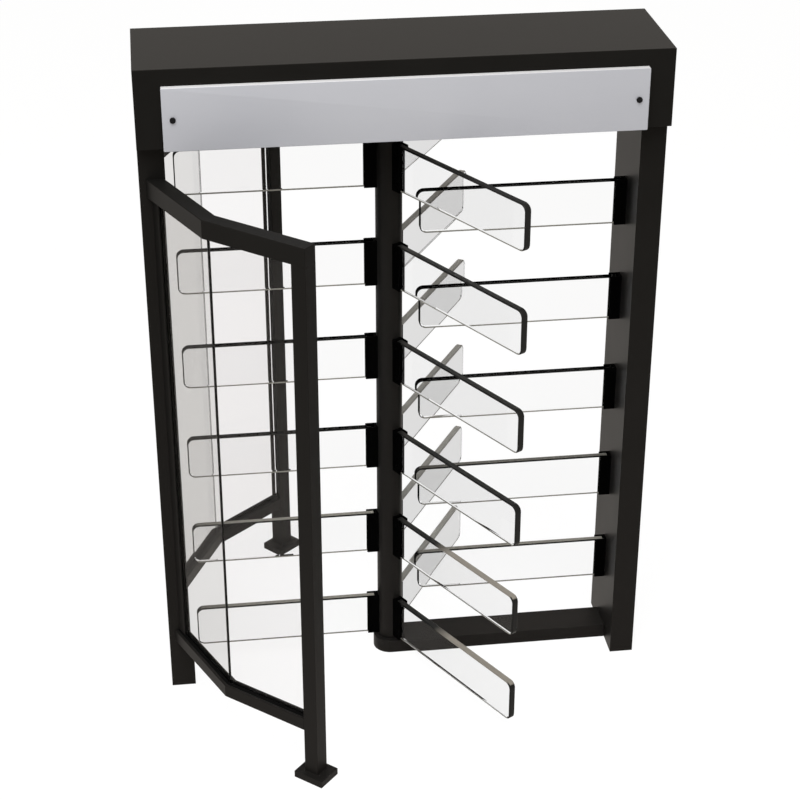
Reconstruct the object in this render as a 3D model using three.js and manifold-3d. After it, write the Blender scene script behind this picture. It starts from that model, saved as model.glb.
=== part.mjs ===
import * as THREE from 'three';
import { mergeVertices } from 'three/addons/utils/BufferGeometryUtils.js';
import Module from 'manifold-3d';

const wasm = await Module();
wasm.setup();

// Full height turnstile, in millimetres and degrees. +Z is up, the front is at -Y, and the origin is on the
// floor in the middle. The rotor turns about an upright axis between the guard side (-X) and the comb side (+X).

// Overall size and clearances
const overallHeight = 2300;
const overallWidth = 1676;
const seatGap = 0.3;
const cutOverrun = 2;

// Facets of round pieces
const fineSides = 48;
const smallSides = 24;
const cornerSteps = 6;

// Posts that carry the header
const postWidth = 83;
const postWall = 4;
const postFootThickness = 12;
const postAnchorRadius = 7;
const postAnchorInset = 50;

// Header: cover, chassis plate and bright panels
const headerHeight = 255;
const headerDepth = 420;
const headerOverhang = 50;
const coverWall = 3;
const windowSide = 100;
const windowSill = 30;
const windowHead = 65;
const chassisThickness = 5;
const chassisFlangeHeight = 40;
const chassisShaftHole = 30;
const cableHoleWidth = 40;
const cableHoleDepth = 160;
const panelTopDrop = 53.5;
const panelHeight = 202.5;
const panelProud = 20;
const panelWall = 2;

// Quarter-turn locks of the front panel
const lockInset = 32;
const lockBarrelRadius = 7;
const lockHeadRadius = 9.3;
const lockHeadLength = 6;
const lockTongueLength = 36;
const lockTongueWidth = 14;
const lockTongueThickness = 3;
const keySlotWidth = 2;
const keySlotHeight = 8;
const keySlotDepth = 3;

// Rotor column and its place between the posts
const rotorOffset = 36;
const rotorWallClearance = 27;
const columnRadius = 44.45;
const columnWall = 4;
const columnFloorGap = 2;
const columnHeadDrop = 14;
const columnPlugThickness = 16;

// Clear plates of the rotor and of the fixed comb, and the channels that hold them
const plateThickness = 25;
const plateCornerRadius = 25;
const plateRunningGap = 19.5;
const topLevelDrop = 157;
const lowestLevel = 143;
const levelCount = 6;
const combTipClearance = 18.55;
const channelEndReach = 2.5;
const channelCheek = 5;
const channelWeb = 8;
const channelReach = 38;
const weldEmbed = 0.4;

// Floor beam and the bottom pivot that stands on it
const beamWidth = 120;
const beamHeight = 50;
const beamWall = 4;
const beamBossRadius = 52;
const pivotDiscRadius = 36;
const pivotDiscThickness = 6;
const pivotPinRadius = 20;
const pivotPinHeight = 64;
const pivotStudRadius = 8;
const pivotStudLength = 40;
const bottomBearingHeight = 36;

// Glazed guards in plan: a start on the post's face, then a bend and an end post outside the rotor's sweep
const guardStartInset = 34;
const guardBendAngle = 39.3;
const guardBendClearance = 86.1;
const guardEndAngle = 64.9;
const guardEndClearance = 108.8;
const railWidth = 52;
const topRailHeight = 61;
const topRailDrop = 113;
const bottomRailHeight = 45;
const bottomRailTop = 238;
const guardPostWall = 3;
const footPlateLength = 112;
const footPlateWidth = 92;
const footPlateThickness = 25;
const paneThickness = 12;
const paneGrooveClearance = 1;
const paneGrooveDepth = 20;
const paneHeadClearance = 6;
const paneJointGap = 2;
const wallChannelReach = 38;
const wallChannelCheek = 4;

// Head mechanism: shaft, bearing and mechanism plate
const shaftRadius = 20;
const shaftFlangeThickness = 8;
const shaftEndLength = 4;
const bearingFlangeRadius = 62;
const bearingFlangeThickness = 10;
const bearingHubRadius = 42;
const bearingHubHeight = 40;
const mechanismPlateThickness = 6;
const mechanismPlateGap = 34;
const mechanismPlateLength = 335;
const mechanismPlateInset = 17;
const mechanismPlateOffset = 8;
const mechanismLegRadius = 8;
const mechanismLegInset = 22;
const mechanismHoleRadius = 50;

// Index wheel with its notches
const wheelRadius = 84;
const wheelThickness = 12;
const wheelHubRadius = 34;
const wheelHubHeight = 14.7;
const notchCount = 12;
const notchDepth = 12;
const notchRimHalf = 8;
const notchRootHalf = 6;
const wheelHoleRadius = 11;
const wheelHoleCircle = 52;
const wheelHoleCount = 6;
const rimSteps = 3;

// Gear on the shaft and the motor pinion
const gearModule = 4;
const gearTeeth = 45;
const pinionTeeth = 15;
const pressureAngle = 20;
const flankClearance = 0.15;
const gearThickness = 14;
const gearHubHeight = 8;
const gearHoleRadius = 13;
const gearHoleCircle = 60;
const pinionShaftRadius = 6;
const motorRadius = 30;
const motorBodyHeight = 34;
const motorFlangeSize = 70;
const motorFlangeThickness = 5;
const motorPilotRadius = 15;
const motorPilotHeight = 3;

// Locking pawls, drawn engaged and then turned back to rest
const pawlSwing = 10.5;
const pawlNoseReach = 66;
const pawlTailReach = 45;
const pawlArmHalf = 7;
const pawlNoseBottomGap = 3;
const pawlRimGap = 17;
const pawlNoseBaseHalf = 6;
const pawlNoseTipHalf = 4.5;
const pawlBossRadius = 13;
const pawlEyeRadius = 9;
const pawlPinRadius = 5;
const pawlShoulderRadius = 9;
const plungerPinRadius = 3;
const plungerPinClearance = 0.6;
const plungerPinTravel = 2;

// Solenoids and plungers
const forkCheek = 5;
const forkWidth = 16;
const forkReach = 10.5;
const forkBridge = 8;
const plungerRadius = 5;
const plungerLength = 60;
const plungerBoreClearance = 0.4;
const solenoidWidth = 40;
const solenoidLength = 50;
const solenoidGap = 24;
const solenoidFrame = 5;
const solenoidNeck = 2;

// Control box
const boxLength = 240;
const boxDepth = 160;
const boxHeight = 76;
const boxCornerRadius = 10;
const boxLidHeight = 16;
const boxLidStep = 2;
const boxClearance = 120;

// Places that follow from the sizes
const halfWidth = overallWidth / 2;
const headerBottom = overallHeight - headerHeight;
const innerFace = halfWidth - postWidth;
const rotorX = -rotorOffset;
const rotorRadius = innerFace - rotorOffset - rotorWallClearance;
const postDepth = headerDepth - 2 * headerOverhang;
const postFront = postDepth / 2;
const mechanismPlateDepth = headerDepth - 2 * mechanismPlateInset;
const topRailTop = headerBottom - topRailDrop;
const topRailBottom = topRailTop - topRailHeight;
const degree = Math.PI / 180;

// Materials
const darkSteel = new THREE.MeshStandardMaterial({ color: '#1f1f1e', roughness: 0.5, metalness: 0.2 });
const brushedSteel = new THREE.MeshStandardMaterial({ color: '#b8b8ba', roughness: 0.35, metalness: 0.9 });
const clearPlate = new THREE.MeshStandardMaterial({
  color: '#eef1f0', roughness: 0.05, metalness: 0, transparent: true, opacity: 0.35,
});
const clearGlass = new THREE.MeshStandardMaterial({
  color: '#e9efed', roughness: 0.03, metalness: 0, transparent: true, opacity: 0.3,
});
const blackPlastic = new THREE.MeshStandardMaterial({ color: '#0c0c0c', roughness: 0.4, metalness: 0 });
const platedSteel = new THREE.MeshStandardMaterial({ color: '#9a9a94', roughness: 0.4, metalness: 0.9 });
const machinedSteel = new THREE.MeshStandardMaterial({ color: '#8a8c8e', roughness: 0.3, metalness: 0.95 });
const bronze = new THREE.MeshStandardMaterial({ color: '#8c6a3a', roughness: 0.4, metalness: 0.9 });
const greyPlastic = new THREE.MeshStandardMaterial({ color: '#6c6f70', roughness: 0.6, metalness: 0 });

const turnstile = new THREE.Group();

// A closed geometry as a solid for joining and cutting
function toSolid(geometry) {
  const bare = geometry.clone();
  bare.deleteAttribute('normal');
  bare.deleteAttribute('uv');
  const merged = mergeVertices(bare);
  return new wasm.Manifold(new wasm.Mesh({
    numProp: 3,
    vertProperties: Float32Array.from(merged.attributes.position.array),
    triVerts: Uint32Array.from(merged.index.array),
  }));
}

// A solid back as a geometry
function toGeometry(solid) {
  const mesh = solid.getMesh();
  const geometry = new THREE.BufferGeometry();
  geometry.setAttribute('position', new THREE.BufferAttribute(Float32Array.from(mesh.vertProperties), 3));
  geometry.setIndex(new THREE.BufferAttribute(Uint32Array.from(mesh.triVerts), 1));
  geometry.computeVertexNormals();
  return geometry;
}

function join(first, ...others) {
  return others.reduce((whole, other) => whole.add(toSolid(other)), toSolid(first));
}

function cut(solid, ...tools) {
  return tools.reduce((rest, tool) => rest.subtract(toSolid(tool)), solid);
}

// A block by its size, the middle of its plan and its bottom
function block(width, depth, height, x, y, bottom) {
  return new THREE.BoxGeometry(width, depth, height).translate(x, y, bottom + height / 2);
}

// An upright round bar by its radius, its middle and its bottom
function rod(radius, height, x, y, bottom, sides = smallSides) {
  const bar = new THREE.CylinderGeometry(radius, radius, height, sides);
  return bar.rotateX(Math.PI / 2).translate(x, y, bottom + height / 2);
}

// A round bar along Y by its radius, its axis and its front end
function rodAlongY(radius, length, x, front, z, sides = smallSides) {
  return new THREE.CylinderGeometry(radius, radius, length, sides).translate(x, front + length / 2, z);
}

// A plan outline drawn up from its bottom
function prism(shape, bottom, height) {
  const body = new THREE.ExtrudeGeometry(shape, {
    depth: height, bevelEnabled: false, curveSegments: cornerSteps,
  });
  return body.translate(0, 0, bottom);
}

function shapeOf(points) {
  return new THREE.Shape(points.map(([x, y]) => new THREE.Vector2(x, y)));
}

// A circle as a hole or an outline of its own
function circlePath(x, y, radius, sides) {
  const steps = Array.from({ length: sides }, (_, i) => (i / sides) * 2 * Math.PI);
  return new THREE.Path(steps.map((a) => new THREE.Vector2(x + radius * Math.cos(a), y + radius * Math.sin(a))));
}

// A rectangle with round corners
function roundedRectangle(width, depth, radius, x, y) {
  const w = width / 2;
  const d = depth / 2;
  const shape = new THREE.Shape();
  shape.moveTo(x - w + radius, y - d);
  shape.lineTo(x + w - radius, y - d);
  shape.absarc(x + w - radius, y - d + radius, radius, -Math.PI / 2, 0);
  shape.absarc(x + w - radius, y + d - radius, radius, 0, Math.PI / 2);
  shape.absarc(x - w + radius, y + d - radius, radius, Math.PI / 2, Math.PI);
  shape.absarc(x - w + radius, y - d + radius, radius, Math.PI, 1.5 * Math.PI);
  return shape;
}

function addPiece(name, body, material, parent = turnstile) {
  const geometry = body.isBufferGeometry ? body : toGeometry(body);
  const mesh = new THREE.Mesh(geometry, material);
  mesh.name = name;
  parent.add(mesh);
  return mesh;
}

// Levels of the plates: the rotor's from the top down, the comb's half way between them
const levelPitch = (headerBottom - topLevelDrop - lowestLevel) / (levelCount - 1);
const rotorLevels = Array.from({ length: levelCount }, (_, i) => lowestLevel + levelPitch * (levelCount - 1 - i));
const combLevels = rotorLevels.slice(1).map((level) => level + levelPitch / 2);
const plateHeight = levelPitch / 2 - plateRunningGap;
const channelHeight = plateHeight + 2 * channelEndReach;
const slotWidth = plateThickness + 2 * seatGap;
const channelWidth = slotWidth + 2 * channelCheek;
const channelMouth = columnRadius + channelReach;
const combTipRadius = channelMouth + combTipClearance;

// An upright channel that opens along +X, from its welded back to its mouth, about a level
function channel(back, web, mouth, level) {
  const bottom = level - channelHeight / 2;
  const body = block(mouth - back, channelWidth, channelHeight, (back + mouth) / 2, 0, bottom);
  const slotLength = mouth + cutOverrun - web;
  const slotHeight = channelHeight + 2 * cutOverrun;
  const slot = block(slotLength, slotWidth, slotHeight, web + slotLength / 2, 0, bottom - cutOverrun);
  return toGeometry(cut(toSolid(body), slot));
}

// A clear plate from its root at the origin along +X, with round outer corners
function clearPlateBody(length) {
  const h = plateHeight / 2;
  const r = plateCornerRadius;
  const shape = new THREE.Shape();
  shape.moveTo(0, -h);
  shape.lineTo(length - r, -h);
  shape.absarc(length - r, -h + r, r, -Math.PI / 2, 0);
  shape.absarc(length - r, h - r, r, 0, Math.PI / 2);
  shape.lineTo(0, h);
  const body = prism(shape, 0, plateThickness);
  return body.rotateX(Math.PI / 2).translate(0, plateThickness / 2, 0);
}

// A corner of the guard, by its angle from the guard side and its clearance from the rotor's sweep
function guardCorner(angle, clearance) {
  const reach = rotorRadius + clearance;
  return [rotorX - reach * Math.cos(angle * degree), reach * Math.sin(angle * degree)];
}

// Guard plan, as lines at an offset outward from its two facets; side is -1 in front, 1 behind
const guardCorners = [
  [-innerFace - guardStartInset, postFront],
  guardCorner(guardBendAngle, guardBendClearance),
  guardCorner(guardEndAngle, guardEndClearance),
];
const facetRuns = [0, 1].map((i) => {
  const [ax, ay] = guardCorners[i];
  const [bx, by] = guardCorners[i + 1];
  const length = Math.hypot(bx - ax, by - ay);
  return [(bx - ax) / length, (by - ay) / length];
});
const guardBend = Math.acos(facetRuns[0][0] * facetRuns[1][0] + facetRuns[0][1] * facetRuns[1][1]);

// A point at a distance along a facet from one of its corners, and at an offset outward
function facetPoint(facet, corner, along, offset, side) {
  const [dx, dy] = facetRuns[facet];
  const [x, y] = guardCorners[corner];
  return [x + dx * along - dy * offset, side * (y + dy * along + dx * offset)];
}

// Where a facet's offset line meets a plane at a distance from the middle
function facetAtDepth(depth, offset, side) {
  const [, dy] = facetRuns[0];
  const [, y] = facetPoint(0, 0, 0, offset, 1);
  return facetPoint(0, 0, (depth - y) / dy, offset, side);
}

// The mitre at the corner between the facets, drawn back along one of them by a gap
function mitrePoint(facet, offset, gap, side) {
  const along = (facet === 0 ? 1 : -1) * (offset * Math.tan(guardBend / 2) - gap);
  return facetPoint(facet, 1, along, offset, side);
}

// A band over both facets between two offsets, from a depth to an overlap past the end post's middle
function guardBand(inner, outer, depth, endReach, side) {
  return shapeOf([
    facetAtDepth(depth, outer, side),
    mitrePoint(0, outer, 0, side),
    facetPoint(1, 2, endReach, outer, side),
    facetPoint(1, 2, endReach, inner, side),
    mitrePoint(0, inner, 0, side),
    facetAtDepth(depth, inner, side),
  ]);
}

// Posts: open tubes with a welded foot plate that takes the floor anchors
function postBody(side) {
  const x = side * (halfWidth - postWidth / 2);
  const tube = block(postWidth, postDepth, headerBottom, x, 0, 0);
  const bore = block(
    postWidth - 2 * postWall, postDepth - 2 * postWall, headerBottom + cutOverrun, x, 0, postFootThickness,
  );
  const holeHeight = postFootThickness + 2 * cutOverrun;
  const anchors = [-1, 1].map((end) => rod(
    postAnchorRadius, holeHeight, x, end * (postFront - postAnchorInset), -cutOverrun,
  ));
  return cut(toSolid(tube), bore, ...anchors);
}

// Glazing channel on a face of the guard post: two cheeks about the pane's edge
function wallChannel(side) {
  const bottom = bottomRailTop + seatGap;
  const height = topRailBottom - seatGap - bottom;
  const groove = paneThickness / 2 + paneGrooveClearance / 2;
  return [[-groove - wallChannelCheek, -groove], [groove, groove + wallChannelCheek]].map(([inner, outer]) => {
    const depth = postFront - postWall / 2;
    return prism(shapeOf([
      facetAtDepth(depth, inner, side),
      facetPoint(0, 0, wallChannelReach, inner, side),
      facetPoint(0, 0, wallChannelReach, outer, side),
      facetAtDepth(depth, outer, side),
    ]), bottom, height);
  });
}

const guardPostSolid = [...wallChannel(-1), ...wallChannel(1)]
  .reduce((whole, cheek) => whole.add(toSolid(cheek)), postBody(-1));
addPiece('guard_side_post', guardPostSolid, darkSteel);

// The comb post carries five welded channels that open toward the rotor
const combChannels = combLevels.map((level) => {
  const body = channel(-postWall / 2, channelWeb, channelReach, level);
  return body.rotateZ(Math.PI).translate(innerFace, 0, 0);
});
const combPostSolid = combChannels.reduce((whole, part) => whole.add(toSolid(part)), postBody(1));
addPiece('comb_side_post', combPostSolid, darkSteel);

// Fixed comb plates
combLevels.forEach((level, i) => {
  const root = innerFace - channelWeb - seatGap;
  const plate = addPiece(`comb_blade_${i + 1}`, clearPlateBody(root - rotorX - combTipRadius), clearPlate);
  plate.position.set(root, 0, level);
  plate.rotation.z = Math.PI;
});

// Floor beam: a folded cover with a round end and a boss under the pivot
function beamOutline(inset) {
  const radius = beamWidth / 2 - inset;
  const end = innerFace - seatGap - inset;
  const shape = new THREE.Shape();
  shape.moveTo(end, -radius);
  shape.lineTo(end, radius);
  shape.lineTo(rotorX, radius);
  shape.absarc(rotorX, 0, radius, Math.PI / 2, 1.5 * Math.PI);
  return shape;
}

function beamPrism(inset, bottom, height) {
  return new THREE.ExtrudeGeometry(beamOutline(inset), {
    depth: height, bevelEnabled: false, curveSegments: smallSides,
  }).translate(0, 0, bottom);
}

const beamHollow = beamPrism(beamWall, -cutOverrun, beamHeight - beamWall + cutOverrun);
const beamBoss = rod(beamBossRadius, beamHeight - beamWall / 2, rotorX, 0, 0, fineSides);
const studHole = rod(
  pivotStudRadius + seatGap, beamHeight + 2 * cutOverrun, rotorX, 0, -cutOverrun,
);
const beamShell = cut(toSolid(beamPrism(0, 0, beamHeight)), beamHollow);
addPiece('floor_beam', cut(beamShell.add(toSolid(beamBoss)), studHole), darkSteel);

// Bottom pivot: a disc on the beam, its pin up into the column and its stud down into the boss
const pivotBottom = beamHeight + seatGap;
const pivotTop = pivotBottom + pivotDiscThickness;
const pivotDisc = rod(pivotDiscRadius, pivotDiscThickness, rotorX, 0, pivotBottom, fineSides);
const pivotPin = rod(pivotPinRadius, pivotPinHeight, rotorX, 0, pivotTop - weldEmbed);
const pivotStud = rod(
  pivotStudRadius, pivotStudLength, rotorX, 0, pivotBottom - pivotStudLength + weldEmbed,
);
addPiece('bottom_pivot', join(pivotDisc, pivotPin, pivotStud), machinedSteel);

// A ring about the rotor's axis
function ring(outer, inner, height, bottom) {
  const body = rod(outer, height, rotorX, 0, bottom, fineSides);
  const bore = rod(inner, height + 2 * cutOverrun, rotorX, 0, bottom - cutOverrun, smallSides);
  return cut(toSolid(body), bore);
}

const columnBore = columnRadius - columnWall;
const bearingBottom = pivotTop + seatGap;
const runningRadius = pivotPinRadius + seatGap;
addPiece('bottom_bearing', ring(columnBore - seatGap, runningRadius, bottomBearingHeight, bearingBottom), bronze);

// Rotor: all that turns, about its own axis
const rotor = new THREE.Group();
rotor.position.set(rotorX, 0, 0);
turnstile.add(rotor);
const wings = [['left', 180], ['front', 300], ['rear', 60]];
const columnBottom = beamHeight + columnFloorGap;
const columnTop = headerBottom - columnHeadDrop;
const footPlugBottom = bearingBottom + bottomBearingHeight + seatGap;
const channelHalf = channelWidth / 2;
const weldRadius = columnRadius - weldEmbed;
const channelBack = Math.sqrt(weldRadius ** 2 - channelHalf ** 2);
const channelFloor = columnRadius + channelWeb;

// The column is a tube with a plug in its foot, a lid at its head and the channels welded round it
function columnSolid() {
  const tube = rod(columnRadius, columnTop - columnBottom, 0, 0, columnBottom, fineSides);
  const foot = rod(columnBore, footPlugBottom - columnBottom + cutOverrun, 0, 0, columnBottom - cutOverrun, fineSides);
  const footHole = rod(runningRadius, columnPlugThickness + 2 * cutOverrun, 0, 0, footPlugBottom - cutOverrun);
  const hollowBottom = footPlugBottom + columnPlugThickness;
  const hollow = rod(
    columnBore, columnTop - columnPlugThickness - hollowBottom, 0, 0, hollowBottom, fineSides,
  );
  const shell = cut(toSolid(tube), foot, footHole, hollow);
  return wings.reduce((whole, [, angle]) => rotorLevels.reduce((sum, level) => {
    const part = channel(channelBack, channelFloor, channelMouth, level).rotateZ(angle * degree);
    return sum.add(toSolid(part));
  }, whole), shell);
}

addPiece('rotor_column', columnSolid(), darkSteel, rotor);

// Wings: six clear plates each, set in their channels
wings.forEach(([wingName, angle]) => {
  const wing = new THREE.Group();
  wing.rotation.z = angle * degree;
  rotor.add(wing);
  rotorLevels.forEach((level, i) => {
    const root = channelFloor + seatGap;
    const plate = addPiece(`${wingName}_wing_blade_${i + 1}`, clearPlateBody(rotorRadius - root), clearPlate, wing);
    plate.position.set(root, 0, level);
  });
});

// Guards, front and rear
const grooveHalf = (paneThickness + paneGrooveClearance) / 2;
const paneBottom = bottomRailTop - paneGrooveDepth + seatGap;
const paneTop = topRailBottom + paneGrooveDepth - paneHeadClearance;
const railHalf = railWidth / 2;
const railStart = postFront + seatGap;

[['front', -1], ['rear', 1]].forEach(([guardName, side]) => {
  const rail = guardBand(-railHalf, railHalf, railStart, railHalf, side);
  const groove = guardBand(-grooveHalf, grooveHalf, railStart - cutOverrun, -railHalf, side);
  const lowRail = guardBand(-railHalf, railHalf, railStart, -railHalf - seatGap, side);
  const lowGroove = guardBand(-grooveHalf, grooveHalf, railStart - cutOverrun, cutOverrun - railHalf, side);

  const topGroove = prism(groove, topRailBottom - cutOverrun, paneGrooveDepth + cutOverrun);
  const topRail = cut(toSolid(prism(rail, topRailBottom, topRailHeight)), topGroove);
  addPiece(`${guardName}_guard_top_rail`, topRail, darkSteel);

  const grooveBottom = bottomRailTop - paneGrooveDepth;
  const bottomGroove = prism(lowGroove, grooveBottom, paneGrooveDepth + cutOverrun);
  const bottomRail = prism(lowRail, bottomRailTop - bottomRailHeight, bottomRailHeight);
  addPiece(`${guardName}_guard_bottom_rail`, cut(toSolid(bottomRail), bottomGroove), darkSteel);

  // End post: a square tube welded on its foot plate
  const rectangle = (along, across) => shapeOf([
    facetPoint(1, 2, -along, -across, side),
    facetPoint(1, 2, along, -across, side),
    facetPoint(1, 2, along, across, side),
    facetPoint(1, 2, -along, across, side),
  ]);
  const square = (half) => rectangle(half, half);
  const tubeBottom = footPlateThickness - weldEmbed;
  const tube = prism(square(railHalf), tubeBottom, topRailBottom - seatGap - tubeBottom);
  const bore = prism(square(railHalf - guardPostWall), footPlateThickness, topRailBottom);
  const foot = prism(rectangle(footPlateLength / 2, footPlateWidth / 2), 0, footPlateThickness);
  addPiece(`${guardName}_guard_post`, cut(join(foot, tube), bore), darkSteel);

  // Panes: one for each facet, edge to edge at the corner
  const pane = paneThickness / 2;
  const joint = paneJointGap / 2;
  const wallPane = shapeOf([
    facetAtDepth(railStart, pane, side),
    mitrePoint(0, pane, joint, side),
    mitrePoint(0, -pane, joint, side),
    facetAtDepth(railStart, -pane, side),
  ]);
  const endPane = shapeOf([
    mitrePoint(1, pane, joint, side),
    facetPoint(1, 2, -railHalf - seatGap, pane, side),
    facetPoint(1, 2, -railHalf - seatGap, -pane, side),
    mitrePoint(1, -pane, joint, side),
  ]);
  addPiece(`${guardName}_guard_wall_pane`, prism(wallPane, paneBottom, paneTop - paneBottom), clearGlass);
  addPiece(`${guardName}_guard_end_pane`, prism(endPane, paneBottom, paneTop - paneBottom), clearGlass);
});

// Header cover: a shell open below, with a window behind each bright panel
const coverBottom = headerBottom + seatGap;
const windowWidth = overallWidth - 2 * windowSide;
const windowHeight = headerHeight - windowSill - windowHead;
const coverOuter = block(overallWidth, headerDepth, overallHeight - coverBottom, 0, 0, coverBottom);
const coverHollow = block(
  overallWidth - 2 * coverWall, headerDepth - 2 * coverWall,
  overallHeight - coverWall - coverBottom + cutOverrun, 0, 0, coverBottom - cutOverrun,
);
const windows = block(windowWidth, headerDepth + 2 * cutOverrun, windowHeight, 0, 0, headerBottom + windowSill);
addPiece('header_cover', cut(toSolid(coverOuter), coverHollow, windows), darkSteel);

// Chassis: a plate on the two posts with turned-up flanges
const chassisWidth = overallWidth - 2 * coverWall - 2 * seatGap;
const chassisDepth = headerDepth - 2 * coverWall - 2 * seatGap;
const chassisTop = coverBottom + chassisThickness;
const chassisOuter = block(chassisWidth, chassisDepth, chassisFlangeHeight, 0, 0, coverBottom);
const chassisHollow = block(
  chassisWidth + 2 * cutOverrun, chassisDepth - 2 * chassisThickness, chassisFlangeHeight, 0, 0, chassisTop,
);
const shaftHole = rod(
  chassisShaftHole, chassisThickness + 2 * cutOverrun, rotorX, 0, coverBottom - cutOverrun,
);
const cableHoles = [-1, 1].map((side) => block(
  cableHoleWidth, cableHoleDepth, chassisThickness + 2 * cutOverrun,
  side * (halfWidth - postWidth / 2), 0, coverBottom - cutOverrun,
));
addPiece('header_chassis', cut(toSolid(chassisOuter), chassisHollow, shaftHole, ...cableHoles), darkSteel);

// Bright panels: shallow trays that stand proud of the cover
const panelTop = overallHeight - panelTopDrop;
const panelBottom = panelTop - panelHeight;
const panelWidth = 2 * innerFace;
const panelBack = headerDepth / 2 + seatGap;
const panelFace = panelBack + panelProud;
const lockPlace = innerFace - lockInset;
const lockLevel = panelTop - panelHeight / 2;

function panelSolid(side) {
  const tray = block(panelWidth, panelProud, panelHeight, 0, side * (panelBack + panelProud / 2), panelBottom);
  const hollowDepth = panelProud - panelWall + cutOverrun;
  const hollow = block(
    panelWidth - 2 * panelWall, hollowDepth, panelHeight - 2 * panelWall,
    0, side * (panelFace - panelWall - hollowDepth / 2), panelBottom + panelWall,
  );
  return cut(toSolid(tray), hollow);
}

const holeLength = panelWall + 2 * cutOverrun;
const lockHoles = [-1, 1].map((end) => rodAlongY(
  lockBarrelRadius + seatGap, holeLength, end * lockPlace, -panelFace - cutOverrun, lockLevel,
));
addPiece('front_panel', cut(panelSolid(-1), ...lockHoles), brushedSteel);
addPiece('rear_panel', panelSolid(1), brushedSteel);

// Panel locks: a head with a key slot, a barrel through the panel and a tongue behind the cover's edge
const tongueFront = -(headerDepth / 2 - coverWall - seatGap);
[['left', -1], ['right', 1]].forEach(([lockName, end]) => {
  const x = end * lockPlace;
  const headFront = -(panelFace + seatGap + lockHeadLength);
  const head = rodAlongY(lockHeadRadius, lockHeadLength, x, headFront, lockLevel);
  const barrelFront = headFront + lockHeadLength / 2;
  const barrelLength = tongueFront + lockTongueThickness / 2 - barrelFront;
  const barrel = rodAlongY(lockBarrelRadius, barrelLength, x, barrelFront, lockLevel);
  const tongue = block(
    lockTongueLength, lockTongueThickness, lockTongueWidth,
    x + end * (lockTongueLength - lockTongueWidth) / 2, tongueFront + lockTongueThickness / 2,
    lockLevel - lockTongueWidth / 2,
  );
  const slot = block(
    keySlotWidth, keySlotDepth + cutOverrun, keySlotHeight,
    x, headFront + (keySlotDepth - cutOverrun) / 2, lockLevel - keySlotHeight / 2,
  );
  addPiece(`front_panel_lock_${lockName}`, cut(join(head, barrel, tongue), slot), blackPlastic);
});

// Top bearing: a flanged hub on the chassis
const bearingFoot = chassisTop + seatGap;
const shaftRunning = shaftRadius + seatGap;
const bearingTop = bearingFoot + bearingHubHeight;
const bearingBody = join(
  rod(bearingFlangeRadius, bearingFlangeThickness, rotorX, 0, bearingFoot, fineSides),
  rod(bearingHubRadius, bearingHubHeight, rotorX, 0, bearingFoot, fineSides),
);
const bearingBore = rod(shaftRunning, bearingHubHeight + 2 * cutOverrun, rotorX, 0, bearingFoot - cutOverrun);
addPiece('top_bearing', cut(bearingBody, bearingBore), bronze);

// Mechanism plate on its legs, with the pins of the two pawls
const plateBottom = chassisTop + mechanismPlateGap;
const plateTop = plateBottom + mechanismPlateThickness;
const wheelBottom = bearingTop + seatGap + wheelHubHeight;
const wheelTop = wheelBottom + wheelThickness;
const gearBottom = wheelTop + seatGap + gearHubHeight;
const gearTop = gearBottom + gearThickness;
const motorPlace = rotorX + (gearModule * (gearTeeth + pinionTeeth)) / 2;
const pawlLine = wheelRadius + pawlRimGap + pawlArmHalf;
const swing = pawlSwing * degree;

function mechanismPlate() {
  const x = rotorX + mechanismPlateOffset;
  const corner = mechanismLegInset / 2;
  const outline = roundedRectangle(mechanismPlateLength, mechanismPlateDepth, corner, x, 0);
  outline.holes.push(circlePath(rotorX, 0, mechanismHoleRadius, fineSides));
  outline.holes.push(circlePath(motorPlace, 0, motorRadius + seatGap, fineSides));
  const legHeight = plateBottom - chassisTop - seatGap + weldEmbed;
  const legs = [-1, 1].flatMap((a) => [-1, 1].map((b) => rod(
    mechanismLegRadius, legHeight,
    x + a * (mechanismPlateLength / 2 - mechanismLegInset), b * (mechanismPlateDepth / 2 - mechanismLegInset),
    chassisTop + seatGap,
  )));
  const pins = [-1, 1].flatMap((side) => [
    rod(
      pawlShoulderRadius, wheelBottom - seatGap - plateTop + weldEmbed,
      rotorX - pawlNoseReach, side * pawlLine, plateTop - weldEmbed,
    ),
    rod(
      pawlPinRadius, wheelTop + forkCheek - plateTop + weldEmbed,
      rotorX - pawlNoseReach, side * pawlLine, plateTop - weldEmbed,
    ),
  ]);
  return join(prism(outline, plateBottom, mechanismPlateThickness), ...legs, ...pins);
}

addPiece('mechanism_plate', mechanismPlate(), platedSteel);

// Drive shaft: a flange bolted on the column's head and the shaft up through the bearing
const flangeBottom = columnTop + seatGap;
const shaftTop = gearTop + shaftEndLength;
const shaftFlange = rod(columnRadius, shaftFlangeThickness, 0, 0, flangeBottom, fineSides);
const shaftBar = rod(shaftRadius, shaftTop - flangeBottom - weldEmbed, 0, 0, flangeBottom + weldEmbed);
addPiece('drive_shaft', join(shaftFlange, shaftBar), machinedSteel, rotor);

// A hub or disc about the rotor's own axis
function discWithHub(outline, bottom, thickness, hubHeight) {
  const disc = prism(outline, bottom, thickness);
  const hub = rod(wheelHubRadius, hubHeight + weldEmbed, 0, 0, bottom - hubHeight, fineSides);
  const bore = rod(shaftRunning, hubHeight + thickness + 2 * cutOverrun, 0, 0, bottom - hubHeight - cutOverrun);
  return cut(join(disc, hub), bore);
}

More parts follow.
